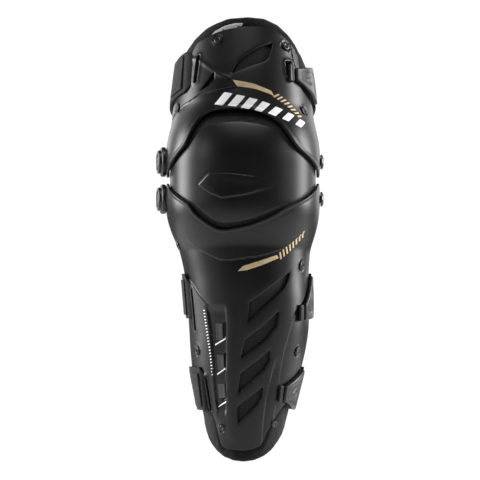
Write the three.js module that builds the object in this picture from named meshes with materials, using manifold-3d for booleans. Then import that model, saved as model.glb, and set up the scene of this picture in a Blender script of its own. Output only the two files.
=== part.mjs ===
// Motorcycle knee-and-shin guard with a dual-axis side hinge.
// Millimetres, +Z up, the guard's front faces -Y, the leg runs along Z.
// Origin: middle of the lower hinge axis. The upper hinge axis is PIVOT_GAP above it.
// Three hard shells (shin, knee cup, thigh cuff), each with its own padding, turn on
// two pairs of side pivots; three elastic straps hook onto the right edge of the shells.
import * as THREE from "three";
import { mergeVertices } from "three/addons/utils/BufferGeometryUtils.js";
import Module from "manifold-3d";

const wasm = await Module();
wasm.setup();

// ---- driving dimensions ----
const PIVOT_GAP = 40; // lower to upper hinge axis
const TILT = 22; // thigh cuff leans back about the upper axis, degrees
const SHELL = 3; // moulded shell thickness
const HOOD_A = 83, HOOD_R = 75; // shin and cuff hoods: half width at the pivots, radius in front
const DOME_A = 78.3, DOME_R = 71; // knee cup: half width at the ears, radius in front
const EXP = 2.4; // fullness of the hoods and the dome
const SECTION_EXP = 2.2; // fullness of the shin and cuff sections
const DISC = 17; // radius of the arm ends around the pivots
const PAD = 8.2, PAD_GAP = 4.8; // padding thickness, and its depth below the shell's outer face
const STRAP = 2.6, STRAP_LIFT = 0.8; // strap thickness, and its height over the shell
const PIN_R = 4, PIN_HOLE = 4.5;

// half width, depth and sideways shift of the shin section against height
const SHIN_A = [[-295, 39], [-260, 43], [-236, 46.8], [-215, 51.5], [-183, 58.5], [-162, 62], [-140, 64.3], [-108, 65.8], [-76, 67.3], [-63, 69.2], [-49, 71.5], [-33, 73], [30, 74]];
const SHIN_B = [[-295, 45], [-240, 50], [-200, 53.5], [-140, 58.5], [-80, 62.5], [-40, 64.5], [30, 64]];
const SHIN_C = [[-295, 0], [-266, 1], [-236, 2.5], [-215, 3], [-183, 4], [-162, 5.4], [-140, 6.4], [-108, 5.6], [-76, 3.6], [-49, 1.5], [-20, 0], [30, 0]];
const SHIN_BACK = [[-295, 44], [-215, 52], [-150, 60], [-100, 62], [30, 62]];
// the same for the thigh cuff, in its own frame on the upper axis
const CUFF_A = [[-30, 74], [31, 75.5], [48, 76.3], [59, 76], [71, 75.3], [82, 74.2], [100, 72], [117, 69.5], [129, 67.3], [150, 64], [175, 61]];
const CUFF_B = [[-30, 66], [40, 70], [80, 70.5], [120, 69], [150, 67], [175, 65]];
const CUFF_BACK = [[-30, 66], [60, 68], [175, 70]];

// outlines as [angle from the front in degrees, height]
const SHIN_TOP = [[-73.6, 12.6], [-57.6, 3.2], [-46.7, -4.3], [-39.6, -16], [-32.3, -24.6], [-24.8, -31], [-19, -33.2], [-10.2, -32.1], [5.8, -27.8], [22.5, -19.3], [38.3, -7.5], [52.1, 0], [73.6, 12.6]];
const SHIN_BOTTOM = [[-102, -206], [-70, -212], [-52, -222], [-42.4, -233], [-36, -251], [-29.7, -264], [-18.2, -267.5], [4.1, -268.6], [23.5, -262.2], [30.4, -249.3], [39.8, -234], [52, -222], [70, -212], [102, -206]];
const CUFF_ARCH = [[-73, -16], [-64, -13.2], [-55.8, -9.2], [-47.8, -2.4], [-41.1, 14], [-36.1, 24.9], [-32.2, 28.9], [-23.9, 32.3], [-2.6, 33.1], [10.2, 30.9], [22.6, 24.5], [30.3, 17.2], [34.8, 8.5], [43.3, -5.4], [53.1, -11.5], [64, -14.6], [73, -16.2]];
const CUFF_TOP = [[-102, 50], [-90, 55], [-72.2, 61.7], [-58, 64.3], [-51.5, 67], [-50.5, 103], [-44.6, 116.3], [-35, 120.3], [-20.7, 125.5], [-2.7, 128.9], [17.1, 129.8], [29.3, 128.4], [39.4, 122.9], [48.2, 115.3], [54.5, 105.5], [56, 68], [62, 64], [75, 60.5], [90, 55], [102, 50]];

// ---- small maths ----
const rad = (d) => (d * Math.PI) / 180;
function lerpTable(t, x) {
  if (x <= t[0][0]) return t[0][1];
  for (let i = 1; i < t.length; i++)
    if (x <= t[i][0]) {
      const s = (x - t[i - 1][0]) / (t[i][0] - t[i - 1][0]);
      return t[i - 1][1] + s * (t[i][1] - t[i - 1][1]);
    }
  return t[t.length - 1][1];
}
function smoothTable(t, x) {
  const n = t.length;
  x = Math.min(Math.max(x, t[0][0]), t[n - 1][0]);
  let i = 0;
  while (i < n - 2 && x > t[i + 1][0]) i++;
  const slope = (k) => {
    if (k === 0) return (t[1][1] - t[0][1]) / (t[1][0] - t[0][0]);
    if (k === n - 1) return (t[k][1] - t[k - 1][1]) / (t[k][0] - t[k - 1][0]);
    const h0 = t[k][0] - t[k - 1][0], h1 = t[k + 1][0] - t[k][0];
    const s0 = (t[k][1] - t[k - 1][1]) / h0, s1 = (t[k + 1][1] - t[k][1]) / h1;
    return (s0 * h1 + s1 * h0) / (h0 + h1);
  };
  const h = t[i + 1][0] - t[i][0], s = (x - t[i][0]) / h;
  return (2 * s ** 3 - 3 * s * s + 1) * t[i][1] + (s ** 3 - 2 * s * s + s) * h * slope(i) +
    (-2 * s ** 3 + 3 * s * s) * t[i + 1][1] + (s ** 3 - s * s) * h * slope(i + 1);
}

// ---- the moulded surfaces: points at (angle from the front, height) ----
// a hood of revolution about the X axis, met along a ray at the given height
function hoodRadius(th, z, A, R) {
  const s = Math.abs(Math.sin(th)), c = Math.abs(Math.cos(th));
  let lo = 0, hi = 130;
  for (let k = 0; k < 36; k++) {
    const m = (lo + hi) / 2;
    const f = ((m * s) / A) ** EXP + (Math.sqrt(m * m * c * c + z * z) / R) ** EXP - 1;
    if (f < 0) lo = m; else hi = m;
  }
  return lo;
}
const sectionRadius = (th, a, b) =>
  1 / ((Math.abs(Math.sin(th)) / a) ** SECTION_EXP + (Math.abs(Math.cos(th)) / b) ** SECTION_EXP) ** (1 / SECTION_EXP);
const smoothMax = (a, b, k = 10) => {
  const h = Math.max(k - Math.abs(a - b), 0) / k;
  return Math.max(a, b) + (h * h * k) / 4;
};
function shinSurface(deg, z) {
  const th = rad(deg), back = Math.abs(deg) > 90;
  const section = sectionRadius(th, smoothTable(SHIN_A, z), smoothTable(back ? SHIN_BACK : SHIN_B, z));
  const r = z < -90 && back ? section : smoothMax(hoodRadius(th, z, HOOD_A, HOOD_R), section);
  return new THREE.Vector3(smoothTable(SHIN_C, z) + r * Math.sin(th), -r * Math.cos(th), z);
}
function cuffSurface(deg, z) {
  const th = rad(deg), back = Math.abs(deg) > 90;
  const section = sectionRadius(th, smoothTable(CUFF_A, z), smoothTable(back ? CUFF_BACK : CUFF_B, z));
  const r = z > 80 && back ? section : smoothMax(hoodRadius(th, z, HOOD_A, HOOD_R), section);
  return new THREE.Vector3(r * Math.sin(th), -r * Math.cos(th), z);
}
function domeSurface(deg, z) {
  const th = rad(deg), dz = z < 0 ? z : z > PIVOT_GAP ? z - PIVOT_GAP : 0;
  const r = hoodRadius(th, dz, DOME_A, DOME_R);
  return new THREE.Vector3(r * Math.sin(th), -r * Math.cos(th), z);
}
function normalAt(S, deg, z) {
  const e = 0.05;
  const a = S(deg + e, z).sub(S(deg - e, z)), b = S(deg, z + e).sub(S(deg, z - e));
  return a.cross(b).normalize();
}
// d is the depth below the surface: 0 on it, negative outside it
const at = (S, deg, z, d) => S(deg, z).addScaledVector(normalAt(S, deg, z), -d);

// ---- building closed solids ----
function tidy(geometry) {
  const g = new THREE.BufferGeometry();
  const src = geometry.index ? geometry.toNonIndexed() : geometry;
  g.setAttribute("position", src.getAttribute("position").clone());
  const merged = mergeVertices(g, 1e-3), p = merged.attributes.position, idx = merged.index.array, keep = [];
  for (let i = 0; i < idx.length; i += 3)
    if (idx[i] !== idx[i + 1] && idx[i + 1] !== idx[i + 2] && idx[i] !== idx[i + 2]) keep.push(idx[i], idx[i + 1], idx[i + 2]);
  merged.setIndex(keep);
  return merged;
}
function signedVolume(g) {
  const p = g.attributes.position, i = g.index.array, a = new THREE.Vector3(), b = new THREE.Vector3(), c = new THREE.Vector3();
  let v = 0;
  for (let k = 0; k < i.length; k += 3) {
    a.fromBufferAttribute(p, i[k]); b.fromBufferAttribute(p, i[k + 1]); c.fromBufferAttribute(p, i[k + 2]);
    v += a.dot(b.cross(c));
  }
  return v;
}
function toSolid(geometry) {
  const g = tidy(geometry);
  const idx = Uint32Array.from(g.index.array);
  if (signedVolume(g) < 0) for (let k = 0; k < idx.length; k += 3) [idx[k + 1], idx[k + 2]] = [idx[k + 2], idx[k + 1]];
  return new wasm.Manifold(new wasm.Mesh({ numProp: 3, vertProperties: Float32Array.from(g.attributes.position.array), triVerts: idx }));
}
function toGeometry(solid) {
  const m = solid.getMesh(), pos = new Float32Array(m.numVert * 3);
  for (let i = 0; i < m.numVert; i++) pos.set(m.vertProperties.subarray(i * m.numProp, i * m.numProp + 3), i * 3);
  const g = new THREE.BufferGeometry();
  g.setAttribute("position", new THREE.BufferAttribute(pos, 3));
  g.setIndex(new THREE.BufferAttribute(Uint32Array.from(m.triVerts), 1));
  g.computeVertexNormals();
  return g;
}
// a closed slab between two depths of a surface: us and vs are the grid, point(u, v, k) with k = 0 outside, 1 inside
function slab(us, vs, point) {
  const nu = us.length, nv = vs.length, pos = [], idx = [];
  for (let k = 0; k < 2; k++)
    for (let i = 0; i < nu; i++)
      for (let j = 0; j < nv; j++) { const p = point(us[i], vs[j], k); pos.push(p.x, p.y, p.z); }
  const id = (k, i, j) => k * nu * nv + i * nv + j;
  const quad = (a, b, c, d) => idx.push(a, b, c, a, c, d);
  for (let i = 0; i < nu - 1; i++)
    for (let j = 0; j < nv - 1; j++) {
      quad(id(0, i, j), id(0, i + 1, j), id(0, i + 1, j + 1), id(0, i, j + 1));
      quad(id(1, i, j), id(1, i, j + 1), id(1, i + 1, j + 1), id(1, i + 1, j));
    }
  for (let i = 0; i < nu - 1; i++) {
    quad(id(0, i, 0), id(1, i, 0), id(1, i + 1, 0), id(0, i + 1, 0));
    quad(id(0, i, nv - 1), id(0, i + 1, nv - 1), id(1, i + 1, nv - 1), id(1, i, nv - 1));
  }
  for (let j = 0; j < nv - 1; j++) {
    quad(id(0, 0, j), id(0, 0, j + 1), id(1, 0, j + 1), id(1, 0, j));
    quad(id(0, nu - 1, j), id(1, nu - 1, j), id(1, nu - 1, j + 1), id(0, nu - 1, j + 1));
  }
  const g = new THREE.BufferGeometry();
  g.setAttribute("position", new THREE.Float32BufferAttribute(pos, 3));
  g.setIndex(idx);
  return toSolid(g);
}
const steps = (a, b, n) => Array.from({ length: n + 1 }, (_, i) => a + ((b - a) * i) / n);
// a slab whose heights run between two outlines over a range of angles
function sheet(S, degs, low, high, nv, d0, d1) {
  return slab(degs, steps(0, 1, nv), (deg, v, k) => {
    const z0 = low(deg), z1 = high(deg);
    return at(S, deg, z0 + (z1 - z0) * v, k ? d1 : d0);
  });
}
// a slab over a four-cornered window [angle, height] x 4, going round
function window4(S, c, d0, d1, n = 2) {
  return slab(steps(0, 1, n), steps(0, 1, n), (u, v, k) => {
    const deg = (1 - u) * (1 - v) * c[0][0] + u * (1 - v) * c[1][0] + u * v * c[2][0] + (1 - u) * v * c[3][0];
    const z = (1 - u) * (1 - v) * c[0][1] + u * (1 - v) * c[1][1] + u * v * c[2][1] + (1 - u) * v * c[3][1];
    return at(S, deg, z, k ? d1 : d0);
  });
}
// a turned piece: profile [radius, distance along the axis], base at a point, axis along dir
function turned(profile, base, dir, segments = 14) {
  const pts = profile.map(([r, h]) => new THREE.Vector2(r, h));
  const g = new THREE.LatheGeometry(pts, segments);
  const q = new THREE.Quaternion().setFromUnitVectors(new THREE.Vector3(0, 1, 0), dir.clone().normalize());
  g.applyMatrix4(new THREE.Matrix4().compose(base, q, new THREE.Vector3(1, 1, 1)));
  return toSolid(g);
}
const block = (x0, x1, y0, y1, z0, z1) => {
  const g = new THREE.BoxGeometry(x1 - x0, y1 - y0, z1 - z0);
  g.translate((x0 + x1) / 2, (y0 + y1) / 2, (z0 + z1) / 2);
  return toSolid(g);
};

const X = new THREE.Vector3(1, 0, 0);
const guard = new THREE.Group();
const cuffGroup = new THREE.Group(); // the thigh cuff's frame: on the upper axis, leaning back
cuffGroup.position.set(0, 0, PIVOT_GAP);
cuffGroup.rotation.x = -rad(TILT);
guard.add(cuffGroup);
const LOOKS = {
  shell: [0x141416, 0.42, 0], cup: [0x101012, 0.22, 0], pad: [0x17171a, 0.95, 0], mesh: [0x1d1d20, 0.9, 0],
  strap: [0x151517, 0.9, 0], buckle: [0x0f0f11, 0.4, 0], metal: [0x2a2b2e, 0.35, 0.8], cap: [0x131315, 0.35, 0], washer: [0xd8d8d2, 0.5, 0],
};
function add(name, solid, look, parent = guard) {
  const [color, roughness, metalness] = LOOKS[look];
  const mesh = new THREE.Mesh(toGeometry(solid), new THREE.MeshStandardMaterial({ color, roughness, metalness }));
  mesh.name = name;
  parent.add(mesh);
}

// ---- outlines that close on the round arm ends ----
const discEdge = (deg) => DISC * Math.sqrt(Math.max(0, 1 - ((Math.abs(deg) - 90) / 12.2) ** 2));
function shinTop(deg) {
  const a = Math.abs(deg);
  if (a >= 90) return discEdge(deg);
  if (a > 73.6) { const s = (a - 73.6) / 16.4; return 12.6 + (DISC - 12.6) * Math.sin((s * Math.PI) / 2); }
  return lerpTable(SHIN_TOP, deg);
}
function cuffArch(deg) {
  const a = Math.abs(deg);
  if (a >= 90) return -discEdge(deg);
  if (a > 73) { const s = (a - 73) / 17; return -16.1 - 0.9 * s; }
  return lerpTable(CUFF_ARCH, deg);
}

// ---- shin shell ----
const shinDegs = [-102, -100.5, -97, -90, -82, -73.6, -65, -57.6, -46.7, -39.6, -32.3, -24.8, -19, -10.2, -2, 5.8, 14, 22.5, 30.4, 38.3, 45, 52.1, 62, 73.6, 82, 90, 97, 100.5, 102];
const shinRows = [0, 0.11, 0.24, 0.38, 0.52, 0.64, 0.74, 0.82, 0.88, 0.94, 1];
const shinRivets = { upper_left: [-78.9, -50.3], upper_right: [61.1, -71.7], mid_left: [-61.4, -162.6], mid_right: [59.8, -163.7], lower_left: [-29.6, -245], lower_right: [38.5, -240.8] };
const shinVents = [
  [[-1, -131.6], [37, -97.4], [44.2, -78.1], [0.6, -111.3]],
  [[-7.1, -170.1], [29.1, -134.8], [31.1, -119.8], [-3.8, -150.9]],
  [[-9.2, -207.6], [24.5, -176], [23.6, -161.6], [-6.3, -186.2]],
  [[-8.8, -239.7], [18.8, -213], [19.4, -201.2], [-10.3, -222.6]],
];
const shinSlits = [
  [[-32.7, -150.9], [-25.1, -146.6], [-24.9, -132.7], [-33.5, -134.8]],
  [[-30, -183], [-24.3, -179.8], [-24.8, -165.9], [-30.3, -168]],
  [[-28.5, -215.1], [-24.7, -212.9], [-24.4, -198], [-28, -200.1]],
];
let shin = slab(shinDegs, shinRows, (deg, v, k) => {
  const z0 = lerpTable(SHIN_BOTTOM, deg), z1 = shinTop(deg);
  return at(shinSurface, deg, z0 + (z1 - z0) * v, k ? SHELL : 0);
});
for (const c of [...shinVents, ...shinSlits]) shin = shin.subtract(window4(shinSurface, c, -4, 9));
// strap slots on the left edge
shin = shin.subtract(window4(shinSurface, [[-65.5, -128], [-62.5, -128], [-62.5, -76], [-65.5, -76]], -4, 9));
shin = shin.subtract(window4(shinSurface, [[-49.5, -226], [-46, -226], [-46, -190], [-49.5, -190]], -4, 9));
for (const sx of [-1, 1]) shin = shin.subtract(turned([[0, -12], [PIN_HOLE, -12], [PIN_HOLE, 12], [0, 12]], new THREE.Vector3(sx * 81.5, 0, 0), X, 12));
// each rivet sits in a shallow round seat over its hole
function rivetHole(S, [deg, z], r) {
  return turned([[0, -9], [2.2, -9], [2.2, -0.6], [r + 0.7, -0.6], [r + 0.7, 7], [0, 7]], S(deg, z), normalAt(S, deg, z), 10);
}
function rivet(S, [deg, z], r, h) {
  const top = [[0, -SHELL - 0.9], [1.8, -SHELL - 0.9], [1.8, -0.25], [r, -0.25], [r, h * 0.45], [r * 0.72, h * 0.9], [0, h]];
  return turned(top, S(deg, z), normalAt(S, deg, z), 10);
}
const shinRivetR = (k) => (k.startsWith("lower") ? 3.6 : 5);
for (const [k, p] of Object.entries(shinRivets)) shin = shin.subtract(rivetHole(shinSurface, p, shinRivetR(k)));
add("shin_shell", shin, "shell");
for (const [k, p] of Object.entries(shinRivets)) add("shin_rivet_" + k, rivet(shinSurface, p, shinRivetR(k), 1.8), "metal");

// ---- mesh sheet behind the shin vents ----
const meshDegs = steps(-36, 50, 10);
add("shin_vent_mesh", sheet(shinSurface, meshDegs, () => -244 + 4.2, () => -76, 10, SHELL + 0.75, SHELL + 1.4).subtract(
  [...Object.values(shinRivets)].map((p) => turned([[0, -9], [3.2, -9], [3.2, 6], [0, 6]], shinSurface(...p), normalAt(shinSurface, ...p), 8)).reduce((a, b) => a.add(b))), "mesh");

// ---- shin pad: foam liner, its rim stands past the shell below and at the sides ----
const padDegs = steps(-106, 106, 16);
const shinPadLow = (d) => lerpTable([[-106, -233], [-90, -243], [-76, -252], [-60, -261.5], [-45, -270], [-30, -276.5], [-15, -280.3], [0, -281.5], [15, -280.3], [30, -276.5], [45, -270], [60, -261.5], [76, -252], [90, -243], [106, -233]], d);
const shinPadTop = (d) => lerpTable([[0, -54], [15, -55.5], [30, -60], [45, -65], [60, -66], [75, -64], [90, -60], [106, -60]], Math.abs(d)) - 1;
add("shin_pad", sheet(shinSurface, padDegs, shinPadLow, shinPadTop, 7, PAD_GAP, PAD_GAP + PAD), "pad");
// comfort pads: they follow the liner in front and are flat behind, where the leg rests
function comfort(S, half, z0, z1, yBack) {
  return slab(steps(-half, half, 6), steps(0, 1, 5), (deg, v, k) => {
    const a = Math.abs(deg) / half, cut = 9 * Math.max(0, a - 0.6);
    const p = at(S, deg, z0 + cut + (z1 - z0 - 2 * cut) * v, PAD_GAP + PAD + 0.7);
    return k ? new THREE.Vector3(p.x, yBack, p.z) : p;
  });
}
const SHIN_REST_Y = -32.5; // the shin comfort pad's flat back
add("shin_comfort_pad", comfort(shinSurface, 30, -205, -100, SHIN_REST_Y), "pad");

// ---- knee cup: a dome about both axes with flat ears at the pivots ----
const CUP_LOW = 58, CUP_HIGH = 62; // the dome reaches this far below the lower and above the upper axis, degrees
const capZ = (deg, span) => {
  // height under the lower axis where the dome ends: the ears close round the pivots
  const a = Math.abs(deg);
  const full = DOME_R * Math.sin(rad(span)) * Math.cos(rad(Math.min(a, 62) * 0.75)) ** 0.8;
  const ear = 18 * Math.sqrt(Math.max(0, 1 - Math.max(0, (a - 90) / 13) ** 2));
  if (a >= 90) return ear;
  const s = Math.min(1, Math.max(0, (a - 50) / 40));
  return full + (18 - full) * (s * s * (3 - 2 * s));
};
const cupDegs = [-103, -101, -97, -90, -80, -70, -60, -50, -40, -30, -20, -10, 0, 10, 20, 30, 40, 50, 60, 70, 80, 90, 97, 101, 103];
let cup = slab(cupDegs, [0, 0.07, 0.14, 0.21, 0.28, 0.36, 0.49, 0.62, 0.7, 0.77, 0.84, 0.92, 1], (deg, v, k) => {
  const z0 = -capZ(deg, CUP_LOW), z1 = PIVOT_GAP + capZ(deg, CUP_HIGH);
  return at(domeSurface, deg, z0 + (z1 - z0) * v, k ? SHELL : 0);
});
for (const sx of [-1, 1])
  for (const z of [0, PIVOT_GAP]) cup = cup.subtract(turned([[0, -12], [PIN_HOLE, -12], [PIN_HOLE, 12], [0, 12]], new THREE.Vector3(sx * 77, 0, z), X, 12));
add("knee_cup_shell", cup, "cup");
add("knee_cup_pad", slab(steps(-60, 60, 10), steps(0, 1, 10), (deg, v, k) => {
  const z0 = 5 - capZ(deg, CUP_LOW), z1 = PIVOT_GAP + capZ(deg, CUP_HIGH) - 5;
  return at(domeSurface, deg, z0 + (z1 - z0) * v, k ? 4 + PAD : 4);
}), "pad");

// ---- thigh cuff ----
const cuffDegs = [-102, -100.5, -97, -90, -82, -72.2, -64, -58, -51.5, -50.5, -44.6, -41.1, -36.1, -30, -23.9, -13, -2.6, 10.2, 17.1, 23, 30.3, 36, 43.3, 48.2, 54.5, 56, 64, 73, 82, 90, 97, 100.5, 102];
const cuffRivets = { top_left: [-22.3, 115.1], top_right: [39.8, 112.2], side_left: [-66.8, 50.8], side_right: [57.8, 43] };
const cuffTopEdge = (deg) => (Math.abs(deg) > 90 ? Math.max(2, 55 - ((Math.abs(deg) - 90) / 12) ** 2 * 20) : lerpTable(CUFF_TOP, deg));
let cuff = slab(cuffDegs, steps(0, 1, 8), (deg, v, k) => {
  const z0 = cuffArch(deg), z1 = cuffTopEdge(deg);
  return at(cuffSurface, deg, z0 + (z1 - z0) * v, k ? SHELL : 0);
});
cuff = cuff.subtract(window4(cuffSurface, [[-10.4, 74], [18.3, 88.7], [26.9, 113.6], [1.7, 94.7]], -4, 9));
cuff = cuff.subtract(window4(cuffSurface, [[-38.1, 58.9], [-28, 62.9], [-24.4, 79.1], [-32.5, 68]], -4, 9));
cuff = cuff.subtract(window4(cuffSurface, [[-44.5, 70], [-41.5, 70], [-39, 102], [-42, 102]], -4, 9));
for (const sx of [-1, 1]) cuff = cuff.subtract(turned([[0, -12], [PIN_HOLE, -12], [PIN_HOLE, 12], [0, 12]], new THREE.Vector3(sx * 81.5, 0, 0), X, 12));
for (const p of Object.values(cuffRivets)) cuff = cuff.subtract(rivetHole(cuffSurface, p, 4.8));
add("cuff_shell", cuff, "shell", cuffGroup);
for (const [k, p] of Object.entries(cuffRivets)) add("cuff_rivet_" + k, rivet(cuffSurface, p, 4.8, 1.8), "metal", cuffGroup);
add("cuff_vent_mesh", sheet(cuffSurface, steps(-14, 30, 5), () => 66, () => 108.5, 5, SHELL + 0.6, SHELL + 1.3), "mesh", cuffGroup);
const cuffPadTop = (d) => lerpTable([[-106, 92], [-90, 100], [-70, 112], [-50, 127], [-35, 135], [-15, 141.5], [5, 143], [20, 142.5], [35, 138], [50, 128], [62, 116], [90, 100], [106, 92]], d);
add("cuff_pad", sheet(cuffSurface, padDegs, () => 52, cuffPadTop, 5, PAD_GAP, PAD_GAP + PAD), "pad", cuffGroup);
add("cuff_comfort_pad", comfort(cuffSurface, 34, 70, 120, -39.5), "pad", cuffGroup);

// ---- straps: elastic bands from the left slot round the back of the leg to the buckle ----
function strap(S, from, to, z0, z1, n) {
  const degs = [];
  for (let i = 0; i <= n; i++) degs.push(from + ((to - from) * i) / n);
  return slab(degs, [z0, (z0 + z1) / 2, z1], (deg, z, k) => {
    const d = deg > 180 ? deg - 360 : deg < -180 ? deg + 360 : deg;
    return at(S, d, z, k ? -STRAP_LIFT : -STRAP_LIFT - STRAP);
  });
}
// straps run from the left edge (negative angles) backwards to the right buckle
add("thigh_strap", strap(cuffSurface, -50, -360 + 88, 62, 110, 22), "strap", cuffGroup);
add("calf_strap_upper", strap(shinSurface, -68, -360 + 89, -128, -80, 20), "strap");
add("calf_strap_lower", strap(shinSurface, -52, -360 + 86, -226, -180, 21), "strap");

// ---- buckles: triangular hooks on the strap ends, and the catches on the shells ----
function buckle(S, tip, base, half0, half1, zTip, zBase) {
  return slab(steps(tip, base, 4), [-1, 0, 1], (deg, v, k) => {
    const s = (deg - tip) / (base - tip);
    return at(S, deg, zTip + (zBase - zTip) * s + v * (half0 + (half1 - half0) * s), k ? -1 : -5);
  });
}
function catchBlock(S, deg, z, half) {
  return window4(S, [[deg - 6.6, z - half], [deg - 1.9, z - half], [deg - 1.9, z + half], [deg - 6.6, z + half]], -4.2, -0.35, 2);
}
add("thigh_buckle", buckle(cuffSurface, 47, 85.5, 7, 22, 80, 84), "buckle", cuffGroup);
add("thigh_catch", catchBlock(cuffSurface, 47, 80, 10), "buckle", cuffGroup);
add("calf_buckle_upper", buckle(shinSurface, 61, 86.5, 8, 23, -122, -105), "buckle");
add("calf_catch_upper", catchBlock(shinSurface, 61, -122, 9), "buckle");
add("calf_buckle_lower", buckle(shinSurface, 45.5, 83.5, 8, 22, -208, -204), "buckle");
add("calf_catch_lower", catchBlock(shinSurface, 45.5, -208, 9), "buckle");

// ---- pivots: shim washers, pins, large stepped caps on the left, rivet heads on the right ----
const YAW = 8; // the left caps' faces turn a little to the front
for (const [level, z] of [["lower", 0], ["upper", PIVOT_GAP]]) {
  for (const [side, sx] of [["left", -1], ["right", 1]]) {
    const out = new THREE.Vector3(sx, 0, 0), c = new THREE.Vector3(0, 0, z);
    add(`pivot_washer_${level}_${side}`, turned([[4.4, 78.65], [9, 78.65], [9, 79.15], [4.4, 79.15], [4.4, 78.65]], c, out, 12), "washer");
    const reach = side === "left" ? 86.5 : 84.6;
    add(`pivot_pin_${level}_${side}`, turned([[0, 72.2], [7, 72.2], [7, 74.9], [PIN_R, 74.9], [PIN_R, reach], [0, reach]], c, out, 12), "metal");
    if (side === "left") {
      const face = new THREE.Vector3(-Math.cos(rad(YAW)), -Math.sin(rad(YAW)), 0);
      const cap = turned([[0, -6], [16, -6], [16, 3.2], [14.6, 4.2], [12.6, 4.2], [12.6, 7], [11.6, 7.8], [0, 7.8]], new THREE.Vector3(-84.6, 0, z), face, 20);
      add(`pivot_cap_${level}_left`, cap.intersect(block(-110, -83.4, -40, 40, z - 40, z + 40)).subtract(turned([[0, 80], [4.3, 80], [4.3, 86.9], [0, 86.9]], c, out, 12)), "cap");
    } else {
      add(`pivot_rivet_${level}_right`, turned([[0, 84.9], [4.3, 84.9], [4.3, 83.4], [8, 83.4], [8, 85.2], [6.4, 86.6], [0, 87.2]], c, out, 12), "metal");
    }
  }
}

export default guard;
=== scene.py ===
# Knee-and-shin guard: the visual model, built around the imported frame.
# Lengths are worked in millimetres here and stored in metres.
import math
import bpy
import numpy as np
from mathutils import Vector, Matrix
from mathutils.geometry import delaunay_2d_cdt


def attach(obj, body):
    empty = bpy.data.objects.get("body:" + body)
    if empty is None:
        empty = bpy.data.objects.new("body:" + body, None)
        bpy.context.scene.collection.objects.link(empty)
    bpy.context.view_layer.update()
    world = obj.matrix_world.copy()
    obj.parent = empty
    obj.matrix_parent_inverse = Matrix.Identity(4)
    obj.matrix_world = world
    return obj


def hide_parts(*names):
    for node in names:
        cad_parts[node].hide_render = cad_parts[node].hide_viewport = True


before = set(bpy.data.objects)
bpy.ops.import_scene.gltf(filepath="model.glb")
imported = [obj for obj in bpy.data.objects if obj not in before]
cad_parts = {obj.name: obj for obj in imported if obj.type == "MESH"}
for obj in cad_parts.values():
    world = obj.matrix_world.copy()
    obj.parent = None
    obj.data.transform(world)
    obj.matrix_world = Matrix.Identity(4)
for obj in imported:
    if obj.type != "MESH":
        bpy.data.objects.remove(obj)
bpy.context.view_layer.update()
MM = 0.001
GAP, TILT = 40.0, math.radians(22)
A_H, R_H, A_D, R_D = 83.0, 75.0, 78.3, 71.0
N_H, N_S = 2.4, 2.2
KD = 1.22  # millimetres per degree in the flat working plane

# ------------------------------------------------------------------ maths
SH_A = [(-295, 39), (-260, 43), (-236, 46.8), (-215, 51.5), (-183, 58.5), (-162, 62), (-140, 64.3), (-108, 65.8), (-76, 67.3), (-63, 69.2), (-49, 71.5), (-33, 73), (30, 74)]
SH_B = [(-295, 45), (-240, 50), (-200, 53.5), (-140, 58.5), (-80, 62.5), (-40, 64.5), (30, 64)]
SH_C = [(-295, 0), (-266, 1), (-236, 2.5), (-215, 3), (-183, 4), (-162, 5.4), (-140, 6.4), (-108, 5.6), (-76, 3.6), (-49, 1.5), (-20, 0), (30, 0)]
SH_K = [(-295, 44), (-215, 52), (-150, 60), (-100, 62), (30, 62)]
CU_A = [(-30, 74), (31, 75.5), (48, 76.3), (59, 76), (71, 75.3), (82, 74.2), (100, 72), (117, 69.5), (129, 67.3), (150, 64), (175, 61)]
CU_B = [(-30, 66), (40, 70), (80, 70.5), (120, 69), (150, 67), (175, 65)]
CU_K = [(-30, 66), (60, 68), (175, 70)]


def spl(t, x):
    t = np.array(t, float)
    X, Y = t[:, 0], t[:, 1]
    x = np.clip(np.asarray(x, float), X[0], X[-1])
    h = np.diff(X)
    s = np.diff(Y) / h
    m = np.empty_like(X)
    m[0], m[-1] = s[0], s[-1]
    m[1:-1] = (s[:-1] * h[1:] + s[1:] * h[:-1]) / (h[:-1] + h[1:])
    i = np.clip(np.searchsorted(X, x, side="right") - 1, 0, len(h) - 1)
    u = (x - X[i]) / h[i]
    return (2 * u**3 - 3 * u**2 + 1) * Y[i] + (u**3 - 2 * u**2 + u) * h[i] * m[i] + (-2 * u**3 + 3 * u**2) * Y[i + 1] + (u**3 - u**2) * h[i] * m[i + 1]


def lin(t, x):
    t = np.array(t, float)
    return np.interp(x, t[:, 0], t[:, 1])


def hood(th, z, A, R):
    s, c = np.abs(np.sin(th)), np.abs(np.cos(th))
    lo = np.zeros(np.broadcast(th, z).shape)
    hi = lo + 130.0
    for _ in range(30):
        m = (lo + hi) / 2
        f = (m * s / A) ** N_H + (np.sqrt(m * m * c * c + z * z) / R) ** N_H - 1
        lo = np.where(f < 0, m, lo)
        hi = np.where(f < 0, hi, m)
    return lo


def section(th, a, b):
    return 1 / ((np.abs(np.sin(th)) / a) ** N_S + (np.abs(np.cos(th)) / b) ** N_S) ** (1 / N_S)


def smax(a, b, k=10.0):
    h = np.maximum(k - np.abs(a - b), 0) / k
    return np.maximum(a, b) + h * h * k / 4


def shin_s(deg, z):
    deg, z = np.broadcast_arrays(np.asarray(deg, float), np.asarray(z, float))
    th = np.radians(deg)
    back = np.abs(deg) > 90
    r0 = section(th, spl(SH_A, z), np.where(back, spl(SH_K, z), spl(SH_B, z)))
    r = np.where((z < -90) & back, r0, smax(hood(th, z, A_H, R_H), r0))
    return np.stack([spl(SH_C, z) + r * np.sin(th), -r * np.cos(th), z], -1)


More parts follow.
